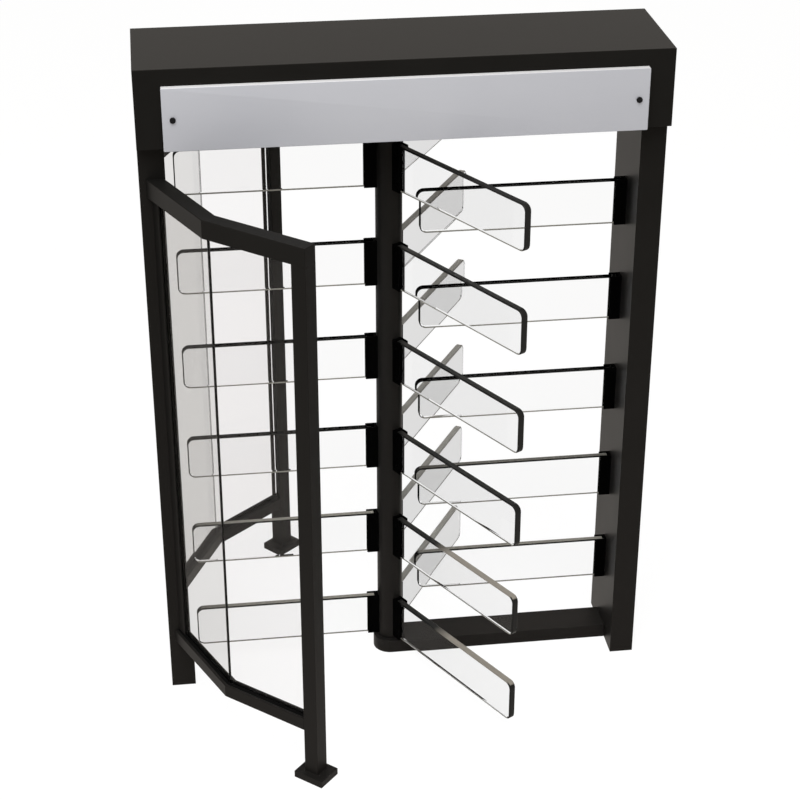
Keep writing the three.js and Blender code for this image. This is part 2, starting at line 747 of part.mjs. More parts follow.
// Index wheel: notches at an even pitch, with a land between each two
function wheelOutline() {
  const pitch = (2 * Math.PI) / notchCount;
  const rimHalf = notchRimHalf / wheelRadius;
  const rootRadius = wheelRadius - notchDepth;
  const rootHalf = notchRootHalf / rootRadius;
  const polar = (radius, angle) => [radius * Math.cos(angle), radius * Math.sin(angle)];
  const points = Array.from({ length: notchCount }, (_, i) => i * pitch).flatMap((middle) => [
    polar(rootRadius, middle - rootHalf),
    polar(rootRadius, middle + rootHalf),
    ...Array.from({ length: rimSteps + 1 }, (_, j) => polar(
      wheelRadius, middle + rimHalf + ((pitch - 2 * rimHalf) * j) / rimSteps,
    )),
  ]);
  const outline = shapeOf(points);
  Array.from({ length: wheelHoleCount }, (_, i) => (i + 0.5) * ((2 * Math.PI) / wheelHoleCount)).forEach((a) => {
    outline.holes.push(circlePath(
      wheelHoleCircle * Math.cos(a), wheelHoleCircle * Math.sin(a), wheelHoleRadius, smallSides,
    ));
  });
  return outline;
}

addPiece('index_wheel', discWithHub(wheelOutline(), wheelBottom, wheelThickness, wheelHubHeight), machinedSteel, rotor);

// Gear outline with involute flanks: the angle of a flank at a radius follows from the base circle
function gearOutline(teeth, firstAngle) {
  const pitchRadius = (gearModule * teeth) / 2;
  const baseRadius = pitchRadius * Math.cos(pressureAngle * degree);
  const tipRadius = pitchRadius + gearModule;
  const rootRadius = pitchRadius - 1.25 * gearModule;
  const involute = (radius) => {
    const roll = Math.acos(Math.min(1, baseRadius / radius));
    return Math.tan(roll) - roll;
  };
  const halfAngle = (radius) => Math.PI / (2 * teeth) - flankClearance / pitchRadius
    + involute(pitchRadius) - involute(radius);
  const footRadius = Math.max(baseRadius, rootRadius);
  const radii = [rootRadius, footRadius, (footRadius + pitchRadius) / 2, pitchRadius, tipRadius]
    .filter((radius, i, all) => i === 0 || radius > all[i - 1]);
  const flank = radii.map((radius) => [radius, halfAngle(Math.max(radius, footRadius))]);
  const points = Array.from({ length: teeth }, (_, i) => firstAngle + (i / teeth) * 2 * Math.PI).flatMap(
    (middle) => [
      ...flank.map(([radius, half]) => [radius * Math.cos(middle - half), radius * Math.sin(middle - half)]),
      ...[...flank].reverse().map(([radius, half]) => [
        radius * Math.cos(middle + half), radius * Math.sin(middle + half),
      ]),
    ],
  );
  return shapeOf(points);
}

const gearShape = gearOutline(gearTeeth, 0);
Array.from({ length: wheelHoleCount }, (_, i) => (i / wheelHoleCount) * 2 * Math.PI).forEach((a) => {
  gearShape.holes.push(circlePath(
    gearHoleCircle * Math.cos(a), gearHoleCircle * Math.sin(a), gearHoleRadius, smallSides,
  ));
});
addPiece('drive_gear', discWithHub(gearShape, gearBottom, gearThickness, gearHubHeight), machinedSteel, rotor);

// Motor pinion: a tooth gap faces the gear, and the shaft goes down to the motor
const pilotTop = plateTop + seatGap + motorFlangeThickness + motorPilotHeight;
const pinion = new THREE.Group();
pinion.position.set(motorPlace, 0, 0);
turnstile.add(pinion);
const pinionBody = join(
  prism(gearOutline(pinionTeeth, Math.PI + Math.PI / pinionTeeth), gearBottom, gearThickness),
  rod(pinionShaftRadius, gearBottom - pilotTop - seatGap + weldEmbed, 0, 0, pilotTop + seatGap),
);
addPiece('motor_pinion', pinionBody, machinedSteel, pinion);

// Drive motor: hangs through the mechanism plate on its flange
const motorFlange = roundedRectangle(
  motorFlangeSize, motorFlangeSize, motorPilotHeight, motorPlace, 0,
);
const motorFlangeBottom = plateTop + seatGap;
const motorBody = join(
  prism(motorFlange, motorFlangeBottom, motorFlangeThickness),
  rod(motorRadius, motorBodyHeight + weldEmbed, motorPlace, 0, motorFlangeBottom - motorBodyHeight, fineSides),
  rod(motorPilotRadius, pilotTop - motorFlangeBottom, motorPlace, 0, motorFlangeBottom),
);
addPiece('drive_motor', motorBody, blackPlastic);

// Pawls, plungers and solenoids: entry lock behind the axis, exit lock in front of it
const pawlTipLine = wheelRadius - notchDepth + pawlNoseBottomGap;
const pawlMiddle = wheelBottom + wheelThickness / 2;
const eyeHalfTravel = plungerPinRadius + plungerPinClearance;
const plungerDraw = pawlTailReach * Math.sin(swing);
const plungerLine = pawlNoseReach + (pawlTailReach * (1 + Math.cos(swing))) / 2;

function pawlSolid(side) {
  const place = (along, out) => [rotorX - along, side * out];
  const tail = pawlNoseReach + pawlTailReach;
  const armStart = -pawlNoseBaseHalf;
  const arm = prism(shapeOf([
    place(armStart, pawlLine - pawlArmHalf),
    place(tail, pawlLine - pawlArmHalf),
    place(tail, pawlLine + pawlArmHalf),
    place(armStart, pawlLine + pawlArmHalf),
  ]), wheelBottom, wheelThickness);
  const nose = prism(shapeOf([
    place(-pawlNoseBaseHalf, pawlLine),
    place(-pawlNoseTipHalf, pawlTipLine),
    place(pawlNoseTipHalf, pawlTipLine),
    place(pawlNoseBaseHalf, pawlLine),
  ]), wheelBottom, wheelThickness);
  const boss = rod(pawlBossRadius, wheelThickness, ...place(pawlNoseReach, pawlLine), wheelBottom);
  const eye = rod(pawlEyeRadius, wheelThickness, ...place(tail, pawlLine), wheelBottom);
  const cutHeight = wheelThickness + 2 * cutOverrun;
  const cutBottom = wheelBottom - cutOverrun;
  const bore = rod(pawlPinRadius + seatGap, cutHeight, ...place(pawlNoseReach, pawlLine), cutBottom);
  const [eyeX, eyeY] = place(tail, pawlLine);
  const slot = block(2 * plungerPinTravel, 2 * eyeHalfTravel, cutHeight, eyeX, eyeY, cutBottom);
  const slotEnds = [-1, 1].map((end) => rod(
    eyeHalfTravel, cutHeight, eyeX + end * plungerPinTravel, eyeY, cutBottom,
  ));
  return cut(join(arm, nose, boss, eye), bore, slot, ...slotEnds);
}

// The plunger's fork holds the pawl's tail; at rest it is out of the solenoid by its draw
function plungerSolid(side) {
  const x = rotorX - plungerLine;
  const pinLine = pawlLine - plungerDraw;
  const bottom = wheelBottom - seatGap - forkCheek;
  const height = wheelThickness + 2 * seatGap + 2 * forkCheek;
  const forkLength = pawlEyeRadius + forkReach + forkBridge;
  const forkMiddle = pinLine - pawlEyeRadius + forkLength / 2;
  const fork = block(forkWidth, forkLength, height, x, side * forkMiddle, bottom);
  const mouthLength = pawlEyeRadius + forkReach + cutOverrun;
  const mouth = block(
    forkWidth + 2 * cutOverrun, mouthLength, wheelThickness + 2 * seatGap,
    x, side * (pinLine + forkReach - mouthLength / 2), wheelBottom - seatGap,
  );
  const rodFront = side * (pinLine + forkReach + forkBridge / 2);
  const rodEnd = rodFront + side * plungerLength;
  const bar = rodAlongY(plungerRadius, plungerLength, x, Math.min(rodFront, rodEnd), pawlMiddle);
  const crossPin = rod(plungerPinRadius, height, x, side * pinLine, bottom);
  return cut(toSolid(fork), mouth).add(toSolid(bar)).add(toSolid(crossPin));
}

// The solenoid's frame is a bored block, drawn in between its two end plates
function solenoidSolid(side) {
  const x = rotorX - plungerLine;
  const bottom = plateTop + seatGap;
  const height = 2 * (pawlMiddle - bottom);
  const near = pawlLine + solenoidGap;
  const middle = side * (near + solenoidLength / 2);
  const frame = block(solenoidWidth, solenoidLength, height, x, middle, bottom);
  const neckLength = solenoidLength - 2 * solenoidFrame;
  const necks = [-1, 1].map((end) => block(
    2 * solenoidNeck, neckLength, height + 2 * cutOverrun,
    x + (end * solenoidWidth) / 2, middle, bottom - cutOverrun,
  ));
  const boreLength = solenoidLength + 2 * cutOverrun;
  const bore = rodAlongY(plungerRadius + plungerBoreClearance, boreLength, x, middle - boreLength / 2, pawlMiddle);
  return cut(toSolid(frame), ...necks, bore);
}

[['exit', -1], ['entry', 1]].forEach(([lockName, side]) => {
  const pivotX = rotorX - pawlNoseReach;
  const pivotY = side * pawlLine;
  const pawl = toGeometry(pawlSolid(side)).translate(-pivotX, -pivotY, 0);
  const pawlMesh = addPiece(`${lockName}_pawl`, pawl, machinedSteel);
  pawlMesh.position.set(pivotX, pivotY, 0);
  pawlMesh.rotation.z = side * swing;
  addPiece(`${lockName}_plunger`, plungerSolid(side), machinedSteel);
  addPiece(`${lockName}_solenoid`, solenoidSolid(side), platedSteel);
});

// Control box with a stepped lid
const boxBottom = chassisTop + seatGap;
const boxPlace = rotorX + mechanismPlateOffset + mechanismPlateLength / 2 + boxClearance + boxLength / 2;
const boxBody = roundedRectangle(boxLength, boxDepth, boxCornerRadius, boxPlace, 0);
const boxLid = roundedRectangle(
  boxLength + 2 * boxLidStep, boxDepth + 2 * boxLidStep, boxCornerRadius + boxLidStep, boxPlace, 0,
);
addPiece('control_box', join(
  prism(boxBody, boxBottom, boxHeight - boxLidHeight / 2),
  prism(boxLid, boxBottom + boxHeight - boxLidHeight, boxLidHeight),
), greyPlastic);

export default turnstile;
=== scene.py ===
import math

import bmesh
import bpy
import numpy as np
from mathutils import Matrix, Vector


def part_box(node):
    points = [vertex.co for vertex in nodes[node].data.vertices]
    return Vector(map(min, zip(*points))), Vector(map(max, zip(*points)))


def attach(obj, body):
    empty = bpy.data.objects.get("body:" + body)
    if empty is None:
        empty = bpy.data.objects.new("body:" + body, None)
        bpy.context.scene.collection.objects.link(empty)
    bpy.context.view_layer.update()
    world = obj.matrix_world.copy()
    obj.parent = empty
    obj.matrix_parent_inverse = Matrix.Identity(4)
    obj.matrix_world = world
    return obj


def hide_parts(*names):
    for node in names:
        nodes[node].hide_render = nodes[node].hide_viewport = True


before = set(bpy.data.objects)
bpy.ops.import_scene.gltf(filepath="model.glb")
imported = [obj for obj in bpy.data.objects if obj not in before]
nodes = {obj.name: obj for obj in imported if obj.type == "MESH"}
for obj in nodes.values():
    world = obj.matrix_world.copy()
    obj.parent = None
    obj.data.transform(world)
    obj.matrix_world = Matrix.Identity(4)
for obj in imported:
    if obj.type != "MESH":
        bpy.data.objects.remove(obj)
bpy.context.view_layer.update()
mm = 0.001
seatGap = 0.3 * mm  # between a part and the seat that it lies in
print("frame loaded:", len(nodes), "nodes")


# camera, at the photograph's place and angle

cameraPlace = {
    "location": (-0.7677, -5.9008, 4.1963),  # metres
    "downTilt": 28.147,  # degrees below the horizon
    "turn": 7.426,  # degrees from straight ahead, to the right
    "lens": 88.12,  # millimetres
    "sensor": 36,  # millimetres
    "sight": 200,  # metres to the farthest thing drawn
}

camera = bpy.data.objects.new("camera", bpy.data.cameras.new("camera"))
bpy.context.scene.collection.objects.link(camera)
bpy.context.scene.camera = camera
camera.location = cameraPlace["location"]
camera.rotation_euler = (
    math.radians(90 - cameraPlace["downTilt"]), 0, math.radians(-cameraPlace["turn"]))
camera.data.sensor_width = cameraPlace["sensor"]
camera.data.lens = cameraPlace["lens"]
camera.data.clip_end = cameraPlace["sight"]
bpy.context.scene.view_settings.view_transform = "Standard"


# small helpers

def hexToLinear(code):
    # an sRGB hex value as the linear colour that a shader takes
    srgb = np.array([int(code[i:i + 2], 16) for i in (1, 3, 5)]) / 255
    linear = np.where(srgb <= 0.04045, srgb / 12.92, ((srgb + 0.055) / 1.055) ** 2.4)
    return (*(float(value) for value in linear), 1.0)


def addNode(tree, kind, settings=None, inputs=None):
    # one node with its settings; an input is a value, or the socket that feeds it
    node = tree.nodes.new(kind)
    for key, value in (settings or {}).items():
        setattr(node, key, value)
    for key, value in (inputs or {}).items():
        if isinstance(value, bpy.types.NodeSocket):
            tree.links.new(value, node.inputs[key])
        else:
            node.inputs[key].default_value = value
    return node


def startMaterial(name):
    # an empty material, its tree and the object's own coordinates, in metres
    material = bpy.data.materials.new(name)
    material.use_nodes = True
    tree = material.node_tree
    tree.nodes.clear()
    return material, tree, addNode(tree, "ShaderNodeTexCoord").outputs["Object"]


noiseLimits = (0.3, 0.7)  # between these the value of a noise mostly stays


def patternColour(tree, pattern, first, second, limits=noiseLimits):
    # a blend of two colours that follows a pattern from its low limit to its high one; each colour is a hex
    # value, or the socket of an earlier blend
    share = addNode(tree, "ShaderNodeMapRange", inputs={
        "Value": pattern, "From Min": limits[0], "From Max": limits[1]}).outputs["Result"]
    ends = [end if isinstance(end, bpy.types.NodeSocket) else hexToLinear(end) for end in (first, second)]
    return addNode(tree, "ShaderNodeMix", {"data_type": "RGBA"}, {
        "Factor": share, "A": ends[0], "B": ends[1]}).outputs["Result"]


def opaqueSkin(tree, look, colour, pattern, relief, others, limits=noiseLimits):
    # a surface of one colour, whose roughness follows a pattern, with a relief for the light to catch; in
    # the look, "relief" is the bump's strength and its height
    rough = addNode(tree, "ShaderNodeMapRange", inputs={
        "Value": pattern, "From Min": limits[0], "From Max": limits[1],
        "To Min": look["roughness"][0], "To Max": look["roughness"][1]})
    bump = addNode(tree, "ShaderNodeBump", inputs={
        "Height": relief, "Strength": look["relief"][0], "Distance": look["relief"][1]})
    return addNode(tree, "ShaderNodeBsdfPrincipled", inputs={
        "Base Color": colour, "Roughness": rough.outputs["Result"], "Normal": bump.outputs["Normal"],
        **others}).outputs["BSDF"]


# materials

def coatedFinish(name, look):
    # paint, plastic or rubber: a cloudy colour, a surface grained with one cell size, and a roughness that
    # wanders with the clouds
    material, tree, place = startMaterial(name)
    cloud = addNode(tree, "ShaderNodeTexNoise", inputs={
        "Vector": place, "Scale": 1 / look["cloudSize"], "Detail": 3.0}).outputs["Fac"]
    grain = addNode(tree, "ShaderNodeTexNoise", inputs={
        "Vector": place, "Scale": 1 / look["grainSize"], "Detail": 2.0, "Roughness": 0.45}).outputs["Fac"]
    colour = patternColour(tree, cloud, look["colour"], look["cloudColour"])
    if "floorLightColour" in look:
        # painted light: the coat is drawn lighter low down, for the bright floor's light, and less so with
        # height
        height = addNode(tree, "ShaderNodeSeparateXYZ", inputs={"Vector": place}).outputs["Z"]
        colour = patternColour(tree, height, look["floorLightColour"], colour, look["floorLightHeights"])
    sheen = hexToLinear(look.get("sheen", "#ffffff"))
    skin = opaqueSkin(tree, look, colour, cloud, grain, {
        "Specular IOR Level": look["specular"], "Specular Tint": sheen})
    addNode(tree, "ShaderNodeOutputMaterial", inputs={"Surface": skin})
    return material


# sprayed polyester powder: near black, slightly warm, with the shallow cells of orange peel
satinPowderCoat = coatedFinish("satin powder coat", {
    "colour": "#121211", "cloudColour": "#151514", "cloudSize": 180 * mm,
    "grainSize": 2.4 * mm, "relief": (0.25, 0.05 * mm),
    "roughness": (0.42, 0.435), "specular": 0.06, "sheen": "#fff0e2",
    # painted floor light: lighter below 0.2 m, fading out by 2.2 m
    "floorLightColour": "#1c1b1a", "floorLightHeights": (200 * mm, 2200 * mm),
})
# flat black electrophoretic coat on the pressed channels, which swallows the light
mattBlackCoat = coatedFinish("matt black dip coat", {
    "colour": "#010101", "cloudColour": "#020202", "cloudSize": 60 * mm,
    "grainSize": 0.9 * mm, "relief": (0.2, 0.03 * mm), "roughness": (0.6, 0.68), "specular": 0.01,
})
# extruded EPDM rubber: black with a dull bloom and fine drawn grain
glazingRubber = coatedFinish("EPDM glazing rubber", {
    "colour": "#060606", "cloudColour": "#0a0a0a", "cloudSize": 40 * mm,
    "grainSize": 1.2 * mm, "relief": (0.3, 0.05 * mm), "roughness": (0.68, 0.76), "specular": 0.04,
})
# closed-cell glazing tape between the pane's edge and the wall post: dark warm grey, a colour that paints
# in the sheen of the post's inner face seen through the pane
paintedSheenTape = coatedFinish("closed-cell glazing tape", {
    "colour": "#3a3833", "cloudColour": "#423f3a", "cloudSize": 20 * mm,
    "grainSize": 1 * mm, "relief": (0.3, 0.05 * mm), "roughness": (0.7, 0.78), "specular": 0.1,
})
# tooled silicone: black and a little glossy
jointSilicone = coatedFinish("black joint silicone", {
    "colour": "#0b0b0b", "cloudColour": "#101010", "cloudSize": 30 * mm,
    "grainSize": 6 * mm, "relief": (0.2, 0.1 * mm), "roughness": (0.35, 0.43), "specular": 0.3,
})
# moulded glass-filled nylon of the lock heads: black with a fine spark texture
mouldedNylon = coatedFinish("moulded black nylon", {
    "colour": "#0c0c0d", "cloudColour": "#121213", "cloudSize": 12 * mm,
    "grainSize": 0.7 * mm, "relief": (0.35, 0.03 * mm), "roughness": (0.4, 0.48), "specular": 0.1,
})
# painted die-cast motor housing: black with a coarser cast skin
castMotorBlack = coatedFinish("painted motor casting", {
    "colour": "#141516", "cloudColour": "#1b1c1d", "cloudSize": 25 * mm,
    "grainSize": 1.6 * mm, "relief": (0.4, 0.08 * mm), "roughness": (0.5, 0.58), "specular": 0.35,
})
# injection-moulded ABS of the control box: mid grey with a leather-fine mould texture
greyAbs = coatedFinish("textured grey ABS", {
    "colour": "#686b6c", "cloudColour": "#707374", "cloudSize": 70 * mm,
    "grainSize": 0.8 * mm, "relief": (0.4, 0.04 * mm), "roughness": (0.55, 0.63), "specular": 0.45,
})


def brushedFinish(name, look):
    # metal drawn through a belt along X: long thin scratches in colour, roughness and height
    material, tree, place = startMaterial(name)
    along = addNode(tree, "ShaderNodeMapping", {"vector_type": "POINT"}, {
        "Vector": place,
        "Scale": (1 / look["scratchLength"], 1 / look["scratchWidth"], 1 / look["scratchWidth"])})
    scratch = addNode(tree, "ShaderNodeTexNoise", inputs={
        "Vector": along.outputs["Vector"], "Scale": 1.0, "Detail": 4.0, "Roughness": 0.6}).outputs["Fac"]
    cloud = addNode(tree, "ShaderNodeTexNoise", inputs={
        "Vector": place, "Scale": 1 / look["cloudSize"], "Detail": 2.0}).outputs["Fac"]
    mixed = addNode(tree, "ShaderNodeMix", inputs={
        "Factor": look["scratchShare"], "A": cloud, "B": scratch}).outputs["Result"]
    colour = patternColour(tree, mixed, look["colour"], look["scratchColour"])
    # painted highlight: faces that turn upwards, as the folded edge on top, are drawn paler as if lit from
    # above
    normal = addNode(tree, "ShaderNodeNewGeometry").outputs["True Normal"]
    upward = addNode(tree, "ShaderNodeSeparateXYZ", inputs={"Vector": normal}).outputs["Z"]
    colour = patternColour(tree, upward, colour, look["topHighlightColour"], look["topHighlightTilts"])
    skin = opaqueSkin(tree, look, colour, scratch, scratch, {"Metallic": look["metallic"]})
    addNode(tree, "ShaderNodeOutputMaterial", inputs={"Surface": skin})
    return material


# stainless sheet brushed with 240 grit and clear passivated: pale, soft grey with a lengthwise grain.
# The real scratches are 0.06 mm apart; they are drawn 0.5 mm wide so that they show at all
brushedStainless = brushedFinish("brushed stainless sheet", {
    "colour": "#aeb0b7", "scratchColour": "#b4b6bc", "cloudSize": 450 * mm, "scratchShare": 0.35,
    "scratchLength": 55 * mm, "scratchWidth": 0.5 * mm,
    "relief": (0.06, 0.02 * mm), "roughness": (0.4, 0.5), "metallic": 0.15,
    # painted highlight on the faces that turn upwards
    "topHighlightColour": "#e0e0e1", "topHighlightTilts": (0.5, 0.95),
})


def spangledFinish(name, look):
    # a metal coat grown in grains: every cell takes its own grey, with a fine ripple over all
    material, tree, place = startMaterial(name)
    cell = addNode(tree, "ShaderNodeTexVoronoi", {"feature": "F1"}, {
        "Vector": place, "Scale": 1 / look["cellSize"]})
    shade = addNode(tree, "ShaderNodeSeparateColor", inputs={"Color": cell.outputs["Color"]}).outputs["Red"]
    ripple = addNode(tree, "ShaderNodeTexNoise", inputs={
        "Vector": place, "Scale": 1 / look["rippleSize"], "Detail": 2.0}).outputs["Fac"]
    colour = patternColour(tree, shade, look["colour"], look["cellColour"], (0, 1))
    skin = opaqueSkin(tree, look, colour, shade, ripple, {"Metallic": 1.0}, (0, 1))
    addNode(tree, "ShaderNodeOutputMaterial", inputs={"Surface": skin})
    return material


# zinc-plated pressed steel: cool pale grey, satin, with a faint spangle
zincPlatedSteel = spangledFinish("zinc plated steel", {
    "colour": "#8f918f", "cellColour": "#a3a5a2", "cellSize": 5 * mm, "rippleSize": 1.5 * mm,
    "relief": (0.12, 0.03 * mm), "roughness": (0.33, 0.43),
})
# sintered bronze of the bearings: brown gold with open pores
sinteredBronze = spangledFinish("sintered bronze", {
    "colour": "#83613a", "cellColour": "#936e42", "cellSize": 0.9 * mm, "rippleSize": 0.7 * mm,
    "relief": (0.12, 0.05 * mm), "roughness": (0.37, 0.47),
})

pivotLow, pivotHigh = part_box("bottom_pivot")
rotorAxis = (pivotLow + pivotHigh) / 2


def distanceFromAxis(tree, place):
    # how far a point lies from the rotor's upright axis
    outward = addNode(tree, "ShaderNodeVectorMath", {"operation": "MULTIPLY_ADD"}, {
        0: place, 1: (1, 1, 0), 2: (-rotorAxis.x, -rotorAxis.y, 0)}).outputs["Vector"]
    return addNode(tree, "ShaderNodeVectorMath", {"operation": "LENGTH"}, {0: outward}).outputs["Value"]


def turnedFinish(name, look):
    # metal cut on a lathe: fine rings about the rotor's upright axis, by distance from it and by height
    material, tree, place = startMaterial(name)
    height = addNode(tree, "ShaderNodeSeparateXYZ", inputs={"Vector": place}).outputs["Z"]
    total = addNode(tree, "ShaderNodeMath", {"operation": "ADD"}, {
        0: distanceFromAxis(tree, place), 1: height}).outputs[0]
    rings = addNode(tree, "ShaderNodeTexNoise", {"noise_dimensions": "1D"}, {
        "W": total, "Scale": 1 / look["cutPitch"], "Detail": 2.0}).outputs["Fac"]
    colour = patternColour(tree, rings, look["colour"], look["cutColour"])
    skin = opaqueSkin(tree, look, colour, rings, rings, {"Metallic": 1.0})
    addNode(tree, "ShaderNodeOutputMaterial", inputs={"Surface": skin})
    return material


# turned and ground steel of shaft, gears and pawls: bright grey with cutting rings 0.4 mm apart
turnedSteel = turnedFinish("turned steel", {
    "colour": "#84868a", "cutColour": "#979a9c", "cutPitch": 0.4 * mm, "relief": (0.15, 0.02 * mm),
    "roughness": (0.25, 0.35),
})

criticalFacing = 0.25  # the facing weight where the critical angle of glass and acrylic begins


def clearSkin(tree, ior, outside):
    # the skin of a clear sheet: one shader where it is met from outside; met from inside it lets light out,
    # and throws it back whole past the critical angle
    facing = addNode(tree, "ShaderNodeLayerWeight", inputs={"Blend": 0.5}).outputs["Facing"]
    past = addNode(tree, "ShaderNodeMath", {"operation": "GREATER_THAN"}, {
        0: facing, 1: criticalFacing}).outputs[0]
    clear = {"Color": hexToLinear("#ffffff"), "Roughness": 0.0, "IOR": ior}
    leaving = addNode(tree, "ShaderNodeBsdfRefraction", inputs=clear)
    back = addNode(tree, "ShaderNodeBsdfGlass", inputs=clear)
    inside = addNode(tree, "ShaderNodeMixShader", inputs={
        0: past, 1: leaving.outputs["BSDF"], 2: back.outputs["BSDF"]})
    return addNode(tree, "ShaderNodeMixShader", inputs={
        0: addNode(tree, "ShaderNodeNewGeometry").outputs["Backfacing"],
        1: outside, 2: inside.outputs["Shader"]}).outputs["Shader"]


def clearSheet(name, look):
    # a clear sheet: bends light, and takes more tint the more aslant it is seen, partly for the longer path
    # and partly as painted shade for dark reflections; lamps shine through it
    material, tree, place = startMaterial(name)
    facing = addNode(tree, "ShaderNodeLayerWeight", inputs={"Blend": 0.5}).outputs["Facing"]
    # a tint with its painted shade at each facing weight, and an even blend from one to the next
    ramp = addNode(tree, "ShaderNodeValToRGB", inputs={"Fac": facing})
    stops = ramp.color_ramp.elements
    while len(stops) < len(look["shadedTints"]):
        stops.new(0.5)
    for stop, (weight, tint) in zip(stops, look["shadedTints"]):
        stop.position = weight
        stop.color = hexToLinear(tint)
    haze = addNode(tree, "ShaderNodeTexNoise", inputs={
        "Vector": place, "Scale": 1 / look["hazeSize"], "Detail": 3.0}).outputs["Fac"]
    rough = addNode(tree, "ShaderNodeMapRange", inputs={
        "Value": haze, "From Min": noiseLimits[0], "From Max": noiseLimits[1], "To Max": look["haze"]})
    clear = {"Color": ramp.outputs["Color"], "Roughness": rough.outputs["Result"], "IOR": look["ior"]}
    entry = addNode(tree, "ShaderNodeBsdfRefraction", inputs=clear)
    gleam = addNode(tree, "ShaderNodeBsdfGlass", inputs=clear)
    outside = addNode(tree, "ShaderNodeMixShader", inputs={
        0: look["gleam"], 1: entry.outputs["BSDF"], 2: gleam.outputs["BSDF"]})
    film = addNode(tree, "ShaderNodeBsdfTransparent", inputs={"Color": hexToLinear(look["shadowColour"])})
    mixed = addNode(tree, "ShaderNodeMixShader", inputs={
        0: addNode(tree, "ShaderNodeLightPath").outputs["Is Shadow Ray"],
        1: clearSkin(tree, look["ior"], outside.outputs["Shader"]), 2: film.outputs["BSDF"]})
    addNode(tree, "ShaderNodeOutputMaterial", inputs={"Surface": mixed.outputs["Shader"]})
    return material


# cast acrylic plate: water clear, with a light smoke where it is looked through aslant, deepened by painted
# shade. The tints run from straight ahead (facing weight 0) to edge on (1)
castAcrylic = clearSheet("cast acrylic", {
    "shadedTints": ((0.1, "#f9f9f9"), (0.45, "#f1f1f1"), (0.67, "#dddddd"), (1.0, "#cbcbcb")),
    "shadowColour": "#f8f8f8", "hazeSize": 90 * mm, "haze": 0.01, "ior": 1.49, "gleam": 0.3,
})
# toughened float glass, 12 mm: clear with the faintest smoke, and painted shade that deepens where it is
# seen aslant
toughenedGlass = clearSheet("toughened glass", {
    "shadedTints": ((0.1, "#fbfbfb"), (0.335, "#f6f5f5"), (0.626, "#e3e2e1"), (1.0, "#bcbbba")),
    "shadowColour": "#f6f7f6", "hazeSize": 200 * mm, "haze": 0.01, "ior": 1.52, "gleam": 0.35,
})

satinSkin = {"Roughness": 0.4, "Specular IOR Level": 0.1}  # of edges that are drawn opaque


def sheetRim(name, look):
    # the cut edge of a clear sheet, drawn dark as painted shade: a deep smoke to what is seen lengthwise
    # through it, or only the dark colour where one is given. Level edges near the floor glow grey with
    # painted light that stands in for the light that comes up through the sheet; where a dark reach is
    # given, the end beside the column keeps the painted shade of the column
    material, tree, place = startMaterial(name)
    normal = addNode(tree, "ShaderNodeNewGeometry").outputs["True Normal"]
    upward = addNode(tree, "ShaderNodeSeparateXYZ", inputs={"Vector": normal}).outputs["Z"]
    level = addNode(tree, "ShaderNodeMath", {"operation": "ABSOLUTE"}, {0: upward}).outputs[0]
    height = addNode(tree, "ShaderNodeSeparateXYZ", inputs={"Vector": place}).outputs["Z"]
    shares = [(level, look["lying"], 0, 1), (height, look["litHeights"], 1, 0)]
    if "columnShadeReach" in look:
        shares.append((distanceFromAxis(tree, place), look["columnShadeReach"], 0, 1))
    lit = 1.0
    for source, limits, atLow, atHigh in shares:
        share = addNode(tree, "ShaderNodeMapRange", inputs={
            "Value": source, "From Min": limits[0], "From Max": limits[1],
            "To Min": atLow, "To Max": atHigh}).outputs["Result"]
        lit = addNode(tree, "ShaderNodeMath", {"operation": "MULTIPLY"}, {0: lit, 1: share}).outputs[0]
    saw = addNode(tree, "ShaderNodeTexNoise", inputs={
        "Vector": place, "Scale": 1 / look["sawSize"], "Detail": 2.0}).outputs["Fac"]
    # painted shade: an opaque dark edge where a shade colour is given
    if "edgeShadeColour" in look:
        edge = addNode(tree, "ShaderNodeBsdfPrincipled", inputs={
            "Base Color": patternColour(tree, saw, look["edgeShadeColour"], look["edgeColour"]), **satinSkin})
    else:
        rough = addNode(tree, "ShaderNodeMapRange", inputs={
            "Value": saw, "From Min": noiseLimits[0], "From Max": noiseLimits[1],
            "To Max": look["roughness"]}).outputs["Result"]
        edge = addNode(tree, "ShaderNodeBsdfRefraction", inputs={
            "Color": hexToLinear(look["edgeColour"]), "Roughness": rough, "IOR": look["ior"]})
    glow = addNode(tree, "ShaderNodeBsdfPrincipled", inputs={
        "Base Color": patternColour(tree, saw, look["litColour"], look["sawColour"]), **satinSkin})
    outside = addNode(tree, "ShaderNodeMixShader", inputs={
        0: lit, 1: edge.outputs["BSDF"], 2: glow.outputs["BSDF"]})
    skin = clearSkin(tree, look["ior"], outside.outputs["Shader"])
    addNode(tree, "ShaderNodeOutputMaterial", inputs={"Surface": skin})
    return material


# what the edges of all the acrylic plates share
acrylicEdge = {
    "edgeColour": "#20201f", "lying": (0.6, 0.72), "litHeights": (620 * mm, 900 * mm),
    "sawSize": 1.5 * mm, "roughness": 0.05, "ior": 1.49,
}
# diamond-polished edge of the comb and of the wing behind the guard: painted grey light low down, with
# black bevels
polishedAcrylicEdge = sheetRim("polished acrylic edge", {
    **acrylicEdge, "litColour": "#7b7972", "sawColour": "#817f78", "lying": (0.85, 0.98),
})
# the same edge on the wing that points out over the bright floor: its bevels take the painted grey light
# low down too, and painted shade near the column
floorlitAcrylicEdge = sheetRim("floorlit acrylic edge", {
    **acrylicEdge, "edgeColour": "#161615", "edgeShadeColour": "#1b1b1a",
    "litColour": "#868179", "sawColour": "#8c877e", "columnShadeReach": (270 * mm, 350 * mm),
})
# and on the far wing: painted grey light at every height
farAcrylicEdge = sheetRim("far acrylic edge", {
    **acrylicEdge, "litColour": "#a09f9b", "sawColour": "#a6a5a1", "litHeights": (2300 * mm, 2500 * mm),
})
# ground glass edge: a little greener, and rougher
groundGlassEdge = sheetRim("ground glass edge", {
    "edgeColour": "#1e201e", "litColour": "#777974", "sawColour": "#7d7f7a",
    "lying": (0.6, 0.72), "litHeights": (620 * mm, 900 * mm),
    "sawSize": 0.8 * mm, "roughness": 0.12, "ior": 1.52,
})


